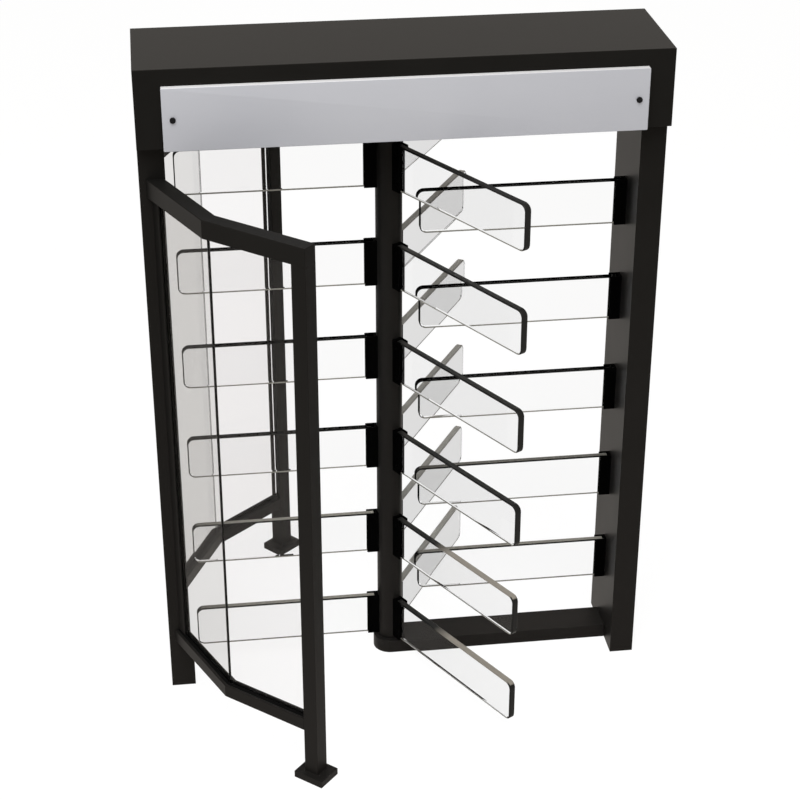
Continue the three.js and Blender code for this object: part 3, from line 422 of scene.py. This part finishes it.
def groundBevel(name, look):
    # a narrow frosted bevel: grey from outside, and clear to what is seen through the sheet
    material, tree, place = startMaterial(name)
    grind = addNode(tree, "ShaderNodeTexNoise", inputs={
        "Vector": place, "Scale": 1 / look["grindSize"], "Detail": 2.0}).outputs["Fac"]
    rough = addNode(tree, "ShaderNodeMapRange", inputs={
        "Value": grind, "From Min": noiseLimits[0], "From Max": noiseLimits[1],
        "To Min": look["roughness"][0], "To Max": look["roughness"][1]})
    frost = addNode(tree, "ShaderNodeBsdfPrincipled", inputs={
        "Base Color": patternColour(tree, grind, look["colour"], look["grindColour"]),
        "Roughness": rough.outputs["Result"], "Specular IOR Level": look["specular"]})
    skin = clearSkin(tree, look["ior"], frost.outputs["BSDF"])
    addNode(tree, "ShaderNodeOutputMaterial", inputs={"Surface": skin})
    return material


# the ground bevel along a plate's lower edge
groundArris = groundBevel("ground acrylic arris", {
    "colour": "#85837b", "grindColour": "#8e8c84", "grindSize": 2 * mm, "roughness": (0.5, 0.6),
    "specular": 0.2, "ior": 1.49,
})
print("materials made")


# mesh helpers

def putMesh(name, vertices, faces, materials, slots=None, smooth=True):
    # arrays of points in metres and lists of faces as one finished mesh object at the origin
    mesh = bpy.data.meshes.new(name)
    mesh.from_pydata(np.asarray(vertices, float).tolist(), [], [list(map(int, face)) for face in faces])
    for material in materials:
        mesh.materials.append(material)
    if slots is not None:
        mesh.polygons.foreach_set("material_index", np.asarray(slots, np.int32))
    mesh.polygons.foreach_set("use_smooth", np.full(len(mesh.polygons), smooth))
    mesh.update()
    piece = bpy.data.objects.new(name, mesh)
    bpy.context.scene.collection.objects.link(piece)
    return piece


def ringQuads(rows, columns):
    # quads between each ring and the next; counted so that anticlockwise rings that climb face outwards
    row, column = np.meshgrid(np.arange(rows - 1), np.arange(columns), indexing="ij")
    after = (column + 1) % columns
    quads = np.stack([row * columns + column, row * columns + after,
                      (row + 1) * columns + after, (row + 1) * columns + column], -1)
    return quads.reshape(-1, 4)


def ringSolid(rings):
    # a solid from rings of equal count: a wall between them, and a flat cap on the first and on the last
    rows, columns, _ = rings.shape
    wall = ringQuads(rows, columns).tolist()
    first = list(range(columns))[::-1]
    last = list(range((rows - 1) * columns, rows * columns))
    return rings.reshape(-1, 3), wall + [first, last]


def roundedOutline(left, right, low, high, radii, steps, inset=0.0):
    # a rectangle's outline, anticlockwise from its lower left corner: each corner is a quarter arc about
    # its own centre, whose radius is less the inset
    signs = np.array([(-1, -1), (1, -1), (1, 1), (-1, 1)])
    corners = np.array([(left, low), (right, low), (right, high), (left, high)])
    radii = np.asarray(radii, float)[:, None]
    centres = corners - signs * radii
    angle = np.radians(np.array([180, 270, 0, 90])[:, None] + np.linspace(0, 90, steps + 1)[None])
    arcs = np.stack([np.cos(angle), np.sin(angle)], -1) * (radii - inset)[:, :, None]
    return (centres[:, None] + arcs).reshape(-1, 2)


def drawn(outline, axis, places):
    # rings: one flat outline repeated at each place along an axis (1 is front to back, 2 is up)
    return np.array([np.insert(outline, axis, place, axis=1) for place in places])


def lathe(profile, sides, centre, axis=2):
    # a profile of (radius, place along the axis) points turned about a line through centre: upright, or
    # level from front to back with axis 1
    radius, place = np.asarray(profile, float).T[:, :, None]
    angle = np.linspace(0, 2 * np.pi, sides, endpoint=False)
    turned = np.stack([centre[0] + radius * np.cos(angle), centre[1] + radius * np.sin(angle)], -1)
    return np.insert(turned, axis, place + 0 * angle, axis=-1)


def sweepRings(path, normals, profile):
    # a profile of (outward, up) points carried along a level path: each path point has its own outward
    # direction, already lengthened for the mitre
    rings = path[:, None] + normals[:, None] * profile[None, :, :1]
    rings[..., 2] += profile[:, 1]
    return rings


def joined(name, parts, materials):
    # several (vertices, faces, slot) lots as one mesh
    vertices, faces, slots, start = [], [], [], 0
    for points, lotFaces, slot in parts:
        vertices.append(points)
        faces += [[corner + start for corner in face] for face in lotFaces]
        slots += [slot] * len(lotFaces)
        start += len(points)
    return putMesh(name, np.concatenate(vertices), faces, materials, slots)


def sharpen(piece, angle=32):
    # corners steeper than the angle in degrees stay crisp, the rest shade as one curve
    piece.data.set_sharp_from_angle(angle=math.radians(angle))
    return piece


def settle(piece, body, slotName, *replaced):
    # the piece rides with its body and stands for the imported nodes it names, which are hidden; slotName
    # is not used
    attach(piece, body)
    if replaced:
        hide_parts(*replaced)


copyRules = {"merge": 0.01 * mm, "flat": 0.4, "crisp": 20}  # the last two in degrees
bevelFrom = 35  # degrees between faces from which an edge is rounded


def roundEdges(piece, width, slot=-1, keepSharp=False):
    # a small round on each sharp edge, with the flat faces shaded flat
    bevel = piece.modifiers.new("rounded edges", "BEVEL")
    bevel.width = width
    bevel.segments = 2
    bevel.limit_method = "ANGLE"
    bevel.angle_limit = math.radians(bevelFrom)
    bevel.material = slot
    piece.modifiers.new("even shading", "WEIGHTED_NORMAL").keep_sharp = keepSharp


def bevelledCopy(node, name, body, slotName, materials, width, slotOf=None, bevelSlot=-1):
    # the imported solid's own shape, merged into whole flat faces, with every sharp edge rounded
    work = bmesh.new()
    work.from_mesh(nodes[node].data)
    bmesh.ops.remove_doubles(work, verts=work.verts, dist=copyRules["merge"])
    bmesh.ops.dissolve_limit(
        work, angle_limit=math.radians(copyRules["flat"]), verts=work.verts, edges=work.edges)
    mesh = bpy.data.meshes.new(name)
    for face in work.faces:
        face.smooth = True
        face.material_index = slotOf(face) if slotOf else 0
    work.to_mesh(mesh)
    work.free()
    for extra in [a.name for a in mesh.attributes if a.name.startswith(("UVMap", "Color", "custom"))]:
        mesh.attributes.remove(mesh.attributes[extra])
    for material in materials:
        mesh.materials.append(material)
    mesh.set_sharp_from_angle(angle=math.radians(copyRules["crisp"]))
    piece = bpy.data.objects.new(name, mesh)
    bpy.context.scene.collection.objects.link(piece)
    roundEdges(piece, width, bevelSlot, keepSharp=True)
    settle(piece, body, slotName, node)


# clear plates of the rotor and of the comb

wingAngles = {"left": math.radians(180), "front": math.radians(300), "rear": math.radians(60)}
wingRims = {"left": polishedAcrylicEdge, "front": floorlitAcrylicEdge, "rear": farAcrylicEdge}
wingBoxes = [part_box(f"left_wing_blade_{number}") for number in range(1, 7)]
wingLevels = [(low.z + high.z) / 2 for low, high in wingBoxes]
combBoxes = [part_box(f"comb_blade_{number}") for number in range(1, 6)]
plateShape = {
    "thickness": combBoxes[0][1].y - combBoxes[0][0].y, "cornerRadius": 25 * mm, "rootRadius": 8 * mm,
    "arris": 4 * mm, "band": 3 * mm, "cornerSteps": 14,
}


def clearPlate(node, body, slotName, root, tip, low, high, angle, centre, rim):
    # a slab in the upright plane at an angle from the axis, with two large corners at its tip; its rings
    # run across the thickness: a band on one face, the bevel, the rim, the other bevel and the other band
    half, arris, steps = plateShape["thickness"] / 2, plateShape["arris"], plateShape["cornerSteps"]
    radii = [plateShape[key] for key in ("rootRadius", "cornerRadius", "cornerRadius", "rootRadius")]
    band = arris + plateShape["band"]
    rows = np.array([(band, -half), (arris, -half), (0.0, arris - half),
                     (0.0, half - arris), (arris, half), (band, half)])
    outlines = np.array([roundedOutline(root, tip, low, high, radii, steps, inset) for inset in rows[:, 0]])
    across = rows[:, 1:]
    cosine, sine = math.cos(angle), math.sin(angle)
    vertices, faces = ringSolid(np.stack([
        centre[0] + outlines[..., 0] * cosine + across * sine,
        centre[1] + outlines[..., 0] * sine - across * cosine,
        outlines[..., 1] + 0 * across,
    ], -1))
    slots = np.repeat([[0], [1], [1], [1], [0]], outlines.shape[1], axis=1)
    # after the outline's first corner come its lower edge and half the tip's lower corner: they are ground,
    # all but the rim between the bevels
    slots[[0, 1, 3, 4], steps:steps + steps // 2] = 2
    piece = putMesh(f"clear_{node}", vertices, faces, [castAcrylic, rim, groundArris], [*slots.flat, 0, 0])
    settle(sharpen(piece), body, slotName, node)


for number, (low, high) in enumerate(wingBoxes, 1):
    for wing, angle in wingAngles.items():
        clearPlate(f"{wing}_wing_blade_{number}", "rotor", "rotor_plate", rotorAxis.x - high.x,
                   rotorAxis.x - low.x, low.z, high.z, angle, rotorAxis, wingRims[wing])
for number, (low, high) in enumerate(combBoxes, 1):
    clearPlate(f"comb_blade_{number}", "frame", "comb_plate",
               0.0, high.x - low.x, low.z, high.z, math.pi, (high.x, 0.0), polishedAcrylicEdge)
print("clear plates made")


# rotor column with its channels

columnShape = {
    "radius": 44.45 * mm, "boreRadius": 40.45 * mm, "runningRadius": 20.3 * mm, "plugBottom": 92.9 * mm,
    "plugTop": 108.9 * mm, "edge": 1.2 * mm, "edgeSteps": 5, "sides": 128,
}
slotHalf = plateShape["thickness"] / 2 + seatGap
channelShape = {
    "back": 41 * mm, "floor": columnShape["radius"] + 8 * mm, "mouth": columnShape["radius"] + 38 * mm,
    "half": slotHalf + 5 * mm, "height": 160 * mm, "edge": 1.4 * mm,
    "screwPlace": 68 * mm, "screwSpread": 52 * mm,
}
screwShape = {
    "radius": 5.2 * mm, "height": 2.6 * mm, "sink": 0.6 * mm, "socket": 2 * mm, "socketDepth": 1.6 * mm,
    "rimHeight": 0.35, "shoulder": (0.82, 0.8), "lip": 1.25,  # shares of the height, both sizes, the socket
    "sides": 18,
}


def columnTube():
    # a lathe profile from the plug's ceiling out under its edge, down the bore, up the outside to the lid
    low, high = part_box("rotor_column")
    radius, bore, running = (columnShape[key] for key in ("radius", "boreRadius", "runningRadius"))
    edge, plugTop, plugBottom = (columnShape[key] for key in ("edge", "plugTop", "plugBottom"))
    turn = np.radians(np.linspace(0, 90, columnShape["edgeSteps"]))
    profile = [(running, plugTop), (running, plugBottom), (bore, plugBottom), (bore, low.z)]
    profile += [(radius - edge + edge * math.sin(a), low.z + edge - edge * math.cos(a)) for a in turn]
    profile += [(radius - edge + edge * math.cos(a), high.z - edge + edge * math.sin(a)) for a in turn]
    return ringSolid(lathe(profile, columnShape["sides"], rotorAxis))


def aboutAxis(points, angle):
    # points (out from the rotor's axis, across) as points (x, y), turned about the axis by an angle
    away, across = np.asarray(points, float).T
    return np.stack([rotorAxis.x + away * math.cos(angle) - across * math.sin(angle),
                     rotorAxis.y + away * math.sin(angle) + across * math.cos(angle)], -1)


def channelBlock(level, angle):
    # the U outline, anticlockwise from above, drawn up its height; the slot opens away from the axis
    back, floor, mouth, half = (channelShape[key] for key in ("back", "floor", "mouth", "half"))
    plan = aboutAxis([(back, -half), (mouth, -half), (mouth, -slotHalf), (floor, -slotHalf),
                      (floor, slotHalf), (mouth, slotHalf), (mouth, half), (back, half)], angle)
    rise = channelShape["height"] / 2
    return ringSolid(drawn(plan, 2, (level - rise, level + rise)))


def buttonScrew(place, outward):
    # a domed head with a sunk socket, turned about its own axis: rings from the rim over the dome and down
    # the socket's wall to its floor
    r, h, socket, (wide, tall) = (screwShape[key] for key in ("radius", "height", "socket", "shoulder"))
    profile = np.array([
        (r, -screwShape["sink"]), (r, screwShape["rimHeight"] * h), (wide * r, tall * h),
        (screwShape["lip"] * socket, h), (socket, h), (socket, h - screwShape["socketDepth"])])
    radius, height = profile.T[:, :, None, None]
    angle = np.linspace(0, 2 * np.pi, screwShape["sides"], endpoint=False)[:, None]
    outward, upward = np.array(outward), np.array((0.0, 0.0, 1.0))
    spokes = np.cross(upward, outward) * np.cos(angle) + upward * np.sin(angle)
    return ringSolid(np.array(place) + outward * height + radius * spokes)


def channelSet(name, angle):
    # all channels of one wing, with two clamping screws in each cheek
    channels = [(*channelBlock(level, angle), 0) for level in wingLevels]
    piece = joined(f"{name}_channels", channels, [mattBlackCoat])
    roundEdges(piece, channelShape["edge"])
    settle(piece, "rotor", "dark_steel")
    screws = []
    for level in wingLevels:
        for end in (-1, 1):
            for cheek in (-1, 1):
                x, y = aboutAxis([(channelShape["screwPlace"], cheek * channelShape["half"])], angle)[0]
                outward = (-cheek * math.sin(angle), cheek * math.cos(angle), 0.0)
                screws.append((*buttonScrew((x, y, level + end * channelShape["screwSpread"]), outward), 0))
    settle(sharpen(joined(f"{name}_clamp_screws", screws, [mattBlackCoat]), 40), "rotor", "dark_steel")


column = putMesh("column_tube", *columnTube(), [satinPowderCoat])
settle(sharpen(column, 30), "rotor", "dark_steel", "rotor_column")
for wing, angle in wingAngles.items():
    channelSet(f"{wing}_wing", angle)
print("rotor column made")


# painted steelwork: posts, rails, beam, header

edgeRadius = {
    "header": 1.3 * mm, "post": 1.5 * mm, "rail": 1.8 * mm, "guardPost": 1.2 * mm, "beam": 1.6 * mm,
}
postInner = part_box("front_panel")[1].x  # from the middle to the inner face of either post


def combPostSlot(face):
    # the channels have the black coat: their faces lie over 0.5 mm before the post's inner face
    return int(face.calc_center_median().x < postInner - 0.5 * mm)


def steelCopy(node, name, edge, materials=(satinPowderCoat,), slotOf=None):
    bevelledCopy(node, name, "frame", "dark_steel", materials, edgeRadius[edge], slotOf)


steelCopy("header_cover", "header_shell", "header")
steelCopy("header_chassis", "header_floor", "post")
steelCopy("comb_side_post", "comb_post", "post", (satinPowderCoat, mattBlackCoat), combPostSlot)
steelCopy("guard_side_post", "guard_side_upright", "post")
steelCopy("floor_beam", "floor_beam_cover", "beam")
for side in ("front", "rear"):
    steelCopy(f"{side}_guard_top_rail", f"{side}_top_rail", "rail")
    steelCopy(f"{side}_guard_bottom_rail", f"{side}_bottom_rail", "rail")
    steelCopy(f"{side}_guard_post", f"{side}_end_post", "guardPost")
print("steelwork made")


# glass panes, their gaskets and the joint at the bend

paneShape = {"broadFace": 0.5, "tapeReach": 170 * mm, "edge": 0.7 * mm}  # the first in square metres


def paneSlot(face):
    # the two broad faces are clear, the rim is ground, and tape backs the rim at the wall post, with its
    # painted sheen of the post
    if face.calc_area() > paneShape["broadFace"]:
        return 0
    return 2 if abs(face.calc_center_median().y) < paneShape["tapeReach"] else 1


for side in ("front", "rear"):
    for part in ("wall", "end"):
        bevelledCopy(f"{side}_guard_{part}_pane", f"{side}_{part}_glass", "frame", "guard_pane",
                     (toughenedGlass, groundGlassEdge, paintedSheenTape), paneShape["edge"], paneSlot, 1)

rotorReach = rotorAxis.x - wingBoxes[0][0].x
guardPlan = {
    # it starts on the post, 34 mm out from the post's inner face
    "start": (-postInner - 34 * mm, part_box("comb_side_post")[1].y + seatGap),
    # angles are in degrees about the rotor's axis, and the corners lie outside the rotor's sweep
    "bendAngle": 39.3, "bendReach": rotorReach + 86.1 * mm,
    "endAngle": 64.9, "endReach": rotorReach + 108.8 * mm,
    "railTop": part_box("front_guard_bottom_rail")[1].z, "railUnder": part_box("front_guard_top_rail")[0].z,
    "railHalf": 26 * mm, "footTop": 25 * mm, "paneHalf": 6 * mm,
}
gasketShape = {
    "width": 10 * mm, "height": 3 * mm, "wedge": 0.8 * mm, "toGlass": 0.05 * mm,
    "crownPlace": 0.35, "crownHeight": 0.92,  # shares of the width and the height
    "rootAtGlass": 1 * mm, "rootAtEdge": 0.2 * mm,
}
jointShape = {
    "proud": 0.4 * mm, "bulge": 0.5 * mm, "faceHalf": 1.7 * mm, "neckDepth": 1 * mm, "neckHalf": 0.95 * mm,
    "endGap": 0.5 * mm,
}


def guardPoints(side):
    # the three corners of the guard's middle line, and the outward direction of each, lengthened for the
    # mitre: the sum of two unit normals over one plus their product
    def around(angle, reach):
        angle = math.radians(angle)
        return (rotorAxis.x - reach * math.cos(angle), reach * math.sin(angle))

    corners = np.array([guardPlan["start"], around(guardPlan["bendAngle"], guardPlan["bendReach"]),
                        around(guardPlan["endAngle"], guardPlan["endReach"])])
    runs = np.diff(corners, axis=0)
    runs /= np.linalg.norm(runs, axis=1)[:, None]
    outward = np.stack([-runs[:, 1], runs[:, 0]], -1)
    first = outward[0] - runs[0] * (outward[0][1] / runs[0][1])
    middle = (outward[0] + outward[1]) / (1 + outward[0] @ outward[1])
    normals = np.array([first, middle, outward[1]])
    corners[2] -= runs[1] * (guardPlan["railHalf"] + seatGap)
    corners[:, 1] *= side
    normals[:, 1] *= side
    return np.column_stack([corners, np.zeros(3)]), np.column_stack([normals, np.zeros(3)]), runs


def gasketProfile():
    # (outward, up) points of a wedge lip beside the pane: thin at its outer edge, bulged at the glass
    near = guardPlan["paneHalf"] + gasketShape["toGlass"]
    far = guardPlan["paneHalf"] + gasketShape["width"]
    return np.array([
        (near, -gasketShape["rootAtGlass"]), (near, gasketShape["height"]),
        (near + gasketShape["crownPlace"] * gasketShape["width"],
         gasketShape["height"] * gasketShape["crownHeight"]),
        (far, gasketShape["wedge"]), (far, -gasketShape["rootAtEdge"])])


def jointPlan(bend, mitre):
    # the silicone fills the mitre between the panes, narrow in its depth, and bulges a little on both faces
    along = np.array([-mitre[1], mitre[0], 0.0]) / np.linalg.norm(mitre)
    reach, face = guardPlan["paneHalf"] + jointShape["proud"], jointShape["faceHalf"]
    deep, neck = reach - jointShape["neckDepth"], jointShape["neckHalf"]
    half = np.array([(-reach, -face), (-reach - jointShape["bulge"], 0.0), (-reach, face), (-deep, neck),
                     (deep, neck)])
    around = np.vstack([half, -half])
    return (bend + around[:, :1] * mitre + around[:, 1:] * along)[:, :2]


for side, sign in (("front", -1), ("rear", 1)):
    path, normals, _ = guardPoints(sign)
    parts = []
    for face in (-1, 1):
        for height, upward in ((guardPlan["railTop"], 1), (guardPlan["railUnder"], -1)):
            profile = gasketProfile() * (face, upward) + (0.0, height)
            vertices, faces = ringSolid(sweepRings(path, normals, profile))
            if sign * face * upward > 0:
                faces = [quad[::-1] for quad in faces]
            parts.append((vertices, faces, 0))
    settle(sharpen(joined(f"{side}_guard_gaskets", parts, [glazingRubber])), "frame", "guard_pane")
    ends = guardPlan["railTop"] + jointShape["endGap"], guardPlan["railUnder"] - jointShape["endGap"]
    vertices, faces = ringSolid(drawn(jointPlan(path[1], normals[1]), 2, ends))
    settle(putMesh(f"{side}_corner_joint", vertices, faces, [jointSilicone]), "frame", "guard_pane")
print("guards glazed")


# bright panels and their locks

panelShape = {"corner": 0.6 * mm, "edge": 1.5 * mm, "wall": 2 * mm, "edgeSteps": 5, "cornerSteps": 4}


def brightPanel(node, name, outwardSign):
    # a folded tray: rings of a rounded rectangle from the inner lip out to the rim, along the sides and
    # over the rounded front edge, and the last one's cap is the face
    low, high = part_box(node)
    face, back = (low.y, high.y) if outwardSign < 0 else (high.y, low.y)
    edge, wall = panelShape["edge"], panelShape["wall"]
    rows = [(wall, back + outwardSign * (abs(face - back) - wall)), (wall, back), (0.0, back)]
    for turn in np.radians(np.linspace(0, 90, panelShape["edgeSteps"])):
        rows.append((edge * (1 - math.cos(turn)), face - outwardSign * edge * (1 - math.sin(turn))))
    box = low.x, high.x, low.z, high.z, [panelShape["corner"] + 2 * edge] * 4, panelShape["cornerSteps"]
    rings = np.array([np.insert(roundedOutline(*box, inset), 1, depth, axis=1) for inset, depth in rows])
    vertices, faces = ringSolid(rings)
    if outwardSign > 0:
        faces = [quad[::-1] for quad in faces]
    piece = putMesh(name, vertices, faces, [brushedStainless])
    settle(sharpen(piece, 40), "frame", "bright_panel", node)


brightPanel("front_panel", "front_bright_panel", -1)
brightPanel("rear_panel", "rear_bright_panel", 1)

lockShape = {
    "inset": 32 * mm,  # from the post's inner face to the lock's axis
    "headRadius": 9.3 * mm, "headLength": 5.9 * mm, "barrelRadius": 7 * mm, "rim": 1.4 * mm,
    "recess": 0.9 * mm, "recessRadius": 7.06 * mm, "recessDraft": 0.3 * mm, "edgeSteps": 5, "sides": 48,
    "keyWidth": 2 * mm, "plugRadius": 5.6 * mm, "plugTop": 0.35 * mm, "plugFoot": 2 * mm, "plugSteps": 15,
    "tongueLength": 36 * mm, "tongueThickness": 3 * mm, "tongueHeight": 14 * mm, "tongueCorner": 3 * mm,
    "cornerSteps": 4,
}

for lockName, end in (("left", -1), ("right", 1)):
    node = f"front_panel_lock_{lockName}"
    low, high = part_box(node)
    x, z, front = end * (postInner - lockShape["inset"]), (low.z + high.z) / 2, low.y
    rim, r, barrel = lockShape["rim"], lockShape["headRadius"], lockShape["barrelRadius"]
    inner, seat = lockShape["recessRadius"], front + lockShape["headLength"]
    turn = np.radians(np.linspace(0, 90, lockShape["edgeSteps"]))
    profile = [(inner - lockShape["recessDraft"], front + lockShape["recess"]), (inner, front)]
    profile += [(r - rim + rim * math.sin(a), front + rim - rim * math.cos(a)) for a in turn]
    profile += [(r, seat), (barrel, seat), (barrel, high.y)]
    parts = [(*ringSolid(lathe(profile, lockShape["sides"], (x, z), 1)), 0)]
    # the key plug: two half discs with the key's slot between them
    plug = lockShape["plugRadius"]
    quarter = np.pi / 2 - math.asin(lockShape["keyWidth"] / 2 / plug)
    depths = front + lockShape["plugFoot"], front + lockShape["plugTop"]
    for turned in (np.pi, 0.0):
        angle = np.linspace(-quarter, quarter, lockShape["plugSteps"]) + turned
        ring = np.stack([x + plug * np.cos(angle), z + plug * np.sin(angle)], -1)
        parts.append((*ringSolid(drawn(ring, 1, depths)), 0))
    length, tall = lockShape["tongueLength"], lockShape["tongueHeight"]
    middle = x + end * (length - tall) / 2
    outline = roundedOutline(middle - length / 2, middle + length / 2, z - tall / 2, z + tall / 2,
                             [lockShape["tongueCorner"]] * 4, lockShape["cornerSteps"])
    vertices, faces = ringSolid(drawn(outline, 1, (high.y - lockShape["tongueThickness"], high.y)))
    parts.append((vertices, [face[::-1] for face in faces], 1))
    piece = joined(f"panel_lock_{lockName}", parts, [mouldedNylon, zincPlatedSteel])
    settle(sharpen(piece, 35), f"{lockName}_lock", "lock", node)
print("panels and locks made")


# weld beads where steel meets steel in sight

beadShape = {"radius": 2.4 * mm, "pitch": 6 * mm, "swell": 0.12, "sides": 8}
groundWeld = {"proud": 0.1 * mm, "corner": 1.4 * mm, "cornerSteps": 3, "height": 6 * mm}


def weldBead(path):
    # a round bead carried about a closed level path: its radius swells once in each pitch, as the torch
    # moved on
    ends = np.vstack([path, path[:1]])
    lengths = np.r_[0, np.cumsum(np.linalg.norm(np.diff(ends, axis=0), axis=1))]
    rows, sides = int(4 * lengths[-1] / beadShape["pitch"]), beadShape["sides"]
    stations = np.linspace(0, lengths[-1], rows, endpoint=False)
    points = np.stack([np.interp(stations, lengths, ends[:, axis]) for axis in range(3)], -1)
    ahead = np.roll(points, -1, axis=0) - np.roll(points, 1, axis=0)
    ahead /= np.linalg.norm(ahead, axis=1)[:, None]
    first = np.cross(ahead, (0.0, 0.0, 1.0))
    second = np.cross(ahead, first)
    swell = 1 + beadShape["swell"] * np.sin(2 * np.pi * stations / beadShape["pitch"])
    angle = np.linspace(0, 2 * np.pi, sides, endpoint=False)[None, :, None]
    spokes = first[:, None] * np.cos(angle) - second[:, None] * np.sin(angle)
    rings = points[:, None] + beadShape["radius"] * swell[:, None, None] * spokes
    return rings.reshape(-1, 3), ringQuads(rows + 1, sides) % (rows * sides)


for side, sign in (("front", -1), ("rear", 1)):
    path, _, runs = guardPoints(sign)
    run = np.array([runs[1][0], sign * runs[1][1], 0.0])
    across = np.array([-runs[1][1], sign * runs[1][0], 0.0])
    half, under = guardPlan["railHalf"], guardPlan["railUnder"]
    postMiddle = path[2] + run * (half + seatGap)
    square = np.array([(-half, -half), (half, -half), (half, half), (-half, half)])
    foot = postMiddle + square[:, :1] * run + square[:, 1:] * across + (0.0, 0.0, guardPlan["footTop"])
    bead = putMesh(f"{side}_foot_weld", *weldBead(foot), [satinPowderCoat])
    settle(bead, "frame", "dark_steel")

    # the post's head is welded to the rail and ground flush: a collar as thin as the paint closes the joint
    reach, rise = half + groundWeld["proud"], groundWeld["height"] / 2
    outline = roundedOutline(
        -reach, reach, -reach, reach, [groundWeld["corner"]] * 4, groundWeld["cornerSteps"])
    plan = postMiddle + run * outline[:, :1] + across * outline[:, 1:] * sign
    vertices, faces = ringSolid(drawn(plan[:, :2], 2, (under - rise, under + rise)))
    settle(sharpen(putMesh(f"{side}_head_weld", vertices, faces, [satinPowderCoat])), "frame", "dark_steel")
print("weld beads made")


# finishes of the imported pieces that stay

packedFinishes = (
    (turnedSteel, ("bottom_pivot", "drive_shaft", "index_wheel", "drive_gear", "motor_pinion",
                   "entry_pawl", "exit_pawl", "entry_plunger", "exit_plunger")),
    (zincPlatedSteel, ("entry_solenoid", "exit_solenoid", "mechanism_plate")),
    (sinteredBronze, ("bottom_bearing", "top_bearing")),
    (castMotorBlack, ("drive_motor",)),
    (greyAbs, ("control_box",)),
)
nodeFinish = {node: material for material, names in packedFinishes for node in names}
for node, material in nodeFinish.items():
    for materialSlot in nodes[node].material_slots:
        materialSlot.material = material
bare = [name for name, piece in nodes.items() if not piece.hide_render and name not in nodeFinish]
print("finishes set; packed pieces still bare:", bare)


# floor, backdrop and light

studio = {
    "floorHalf": 60.0, "floorGlow": 0.94, "floorShade": 0.1, "floorColours": ("#e4e4e4", "#e8e8e8"),
    "mottleScale": 3.0, "ambient": 0.35, "warmth": "#fff8f0",
    "keyPlace": (-1.4, -4.6, 8.6), "keyTarget": (0.0, 0.0, 1.1), "keySize": 6.5, "keyPower": 850.0,
}


def studioRays(tree):
    # two switches: rays that see the studio straight or through glass, and with its reflections too
    path = addNode(tree, "ShaderNodeLightPath")
    direct = addNode(tree, "ShaderNodeMath", {"operation": "MAXIMUM"}, {
        0: path.outputs["Is Camera Ray"], 1: path.outputs["Is Transmission Ray"]}).outputs[0]
    seen = addNode(tree, "ShaderNodeMath", {"operation": "MAXIMUM"}, {
        0: direct, 1: path.outputs["Is Glossy Ray"]}).outputs[0]
    return direct, seen


def studioFloor():
    # a plain pale floor: white to the camera and in reflections, with a faint share that keeps the shadow
    material, tree, place = startMaterial("pale studio floor")
    direct, seen = studioRays(tree)
    mottle = addNode(tree, "ShaderNodeTexNoise", inputs={
        "Vector": place, "Scale": studio["mottleScale"]}).outputs["Fac"]
    plain = addNode(tree, "ShaderNodeBsdfDiffuse", inputs={
        "Color": patternColour(tree, mottle, *studio["floorColours"], (0, 1))})
    faint = addNode(tree, "ShaderNodeBsdfDiffuse", inputs={"Color": (studio["floorShade"],) * 3 + (1.0,)})
    glow = addNode(tree, "ShaderNodeEmission", inputs={
        "Color": patternColour(tree, direct, studio["warmth"], "#ffffff", (0, 1)),
        "Strength": studio["floorGlow"]})
    shown = addNode(tree, "ShaderNodeAddShader", inputs={
        0: faint.outputs["BSDF"], 1: glow.outputs["Emission"]})
    mixed = addNode(tree, "ShaderNodeMixShader", inputs={
        0: seen, 1: plain.outputs["BSDF"], 2: shown.outputs["Shader"]})
    addNode(tree, "ShaderNodeOutputMaterial", inputs={"Surface": mixed.outputs["Shader"]})
    half = studio["floorHalf"]
    corners = [(-half, -half, 0), (half, -half, 0), (half, half, 0), (-half, half, 0)]
    putMesh("studio_floor", corners, [(0, 1, 2, 3)], [material], smooth=False)


def studioWorld():
    # white where it is seen or reflected, and a soft dome of less strength for the light it gives
    world = bpy.data.worlds.new("studio")
    bpy.context.scene.world = world
    world.use_nodes = True
    tree = world.node_tree
    tree.nodes.clear()
    direct, seen = studioRays(tree)
    strength = addNode(tree, "ShaderNodeMapRange", inputs={
        "Value": seen, "To Min": studio["ambient"], "To Max": 1.0}).outputs["Result"]
    backdrop = addNode(tree, "ShaderNodeBackground", inputs={
        "Color": patternColour(tree, direct, studio["warmth"], "#ffffff", (0, 1)), "Strength": strength})
    addNode(tree, "ShaderNodeOutputWorld", inputs={"Surface": backdrop.outputs["Background"]})


def keyLamp():
    # one square area lamp before and above the turnstile, turned so that it shines on its target
    lamp = bpy.data.objects.new("key", bpy.data.lights.new("key", "AREA"))
    bpy.context.scene.collection.objects.link(lamp)
    lamp.data.shape = "SQUARE"
    lamp.data.size = studio["keySize"]
    lamp.data.energy = studio["keyPower"]
    lamp.location = studio["keyPlace"]
    aim = np.subtract(studio["keyTarget"], studio["keyPlace"])
    lamp.rotation_euler = (
        math.atan2(math.hypot(aim[0], aim[1]), -aim[2]), 0, math.atan2(aim[1], aim[0]) - math.pi / 2)


studioFloor()
studioWorld()
keyLamp()
print("studio set")
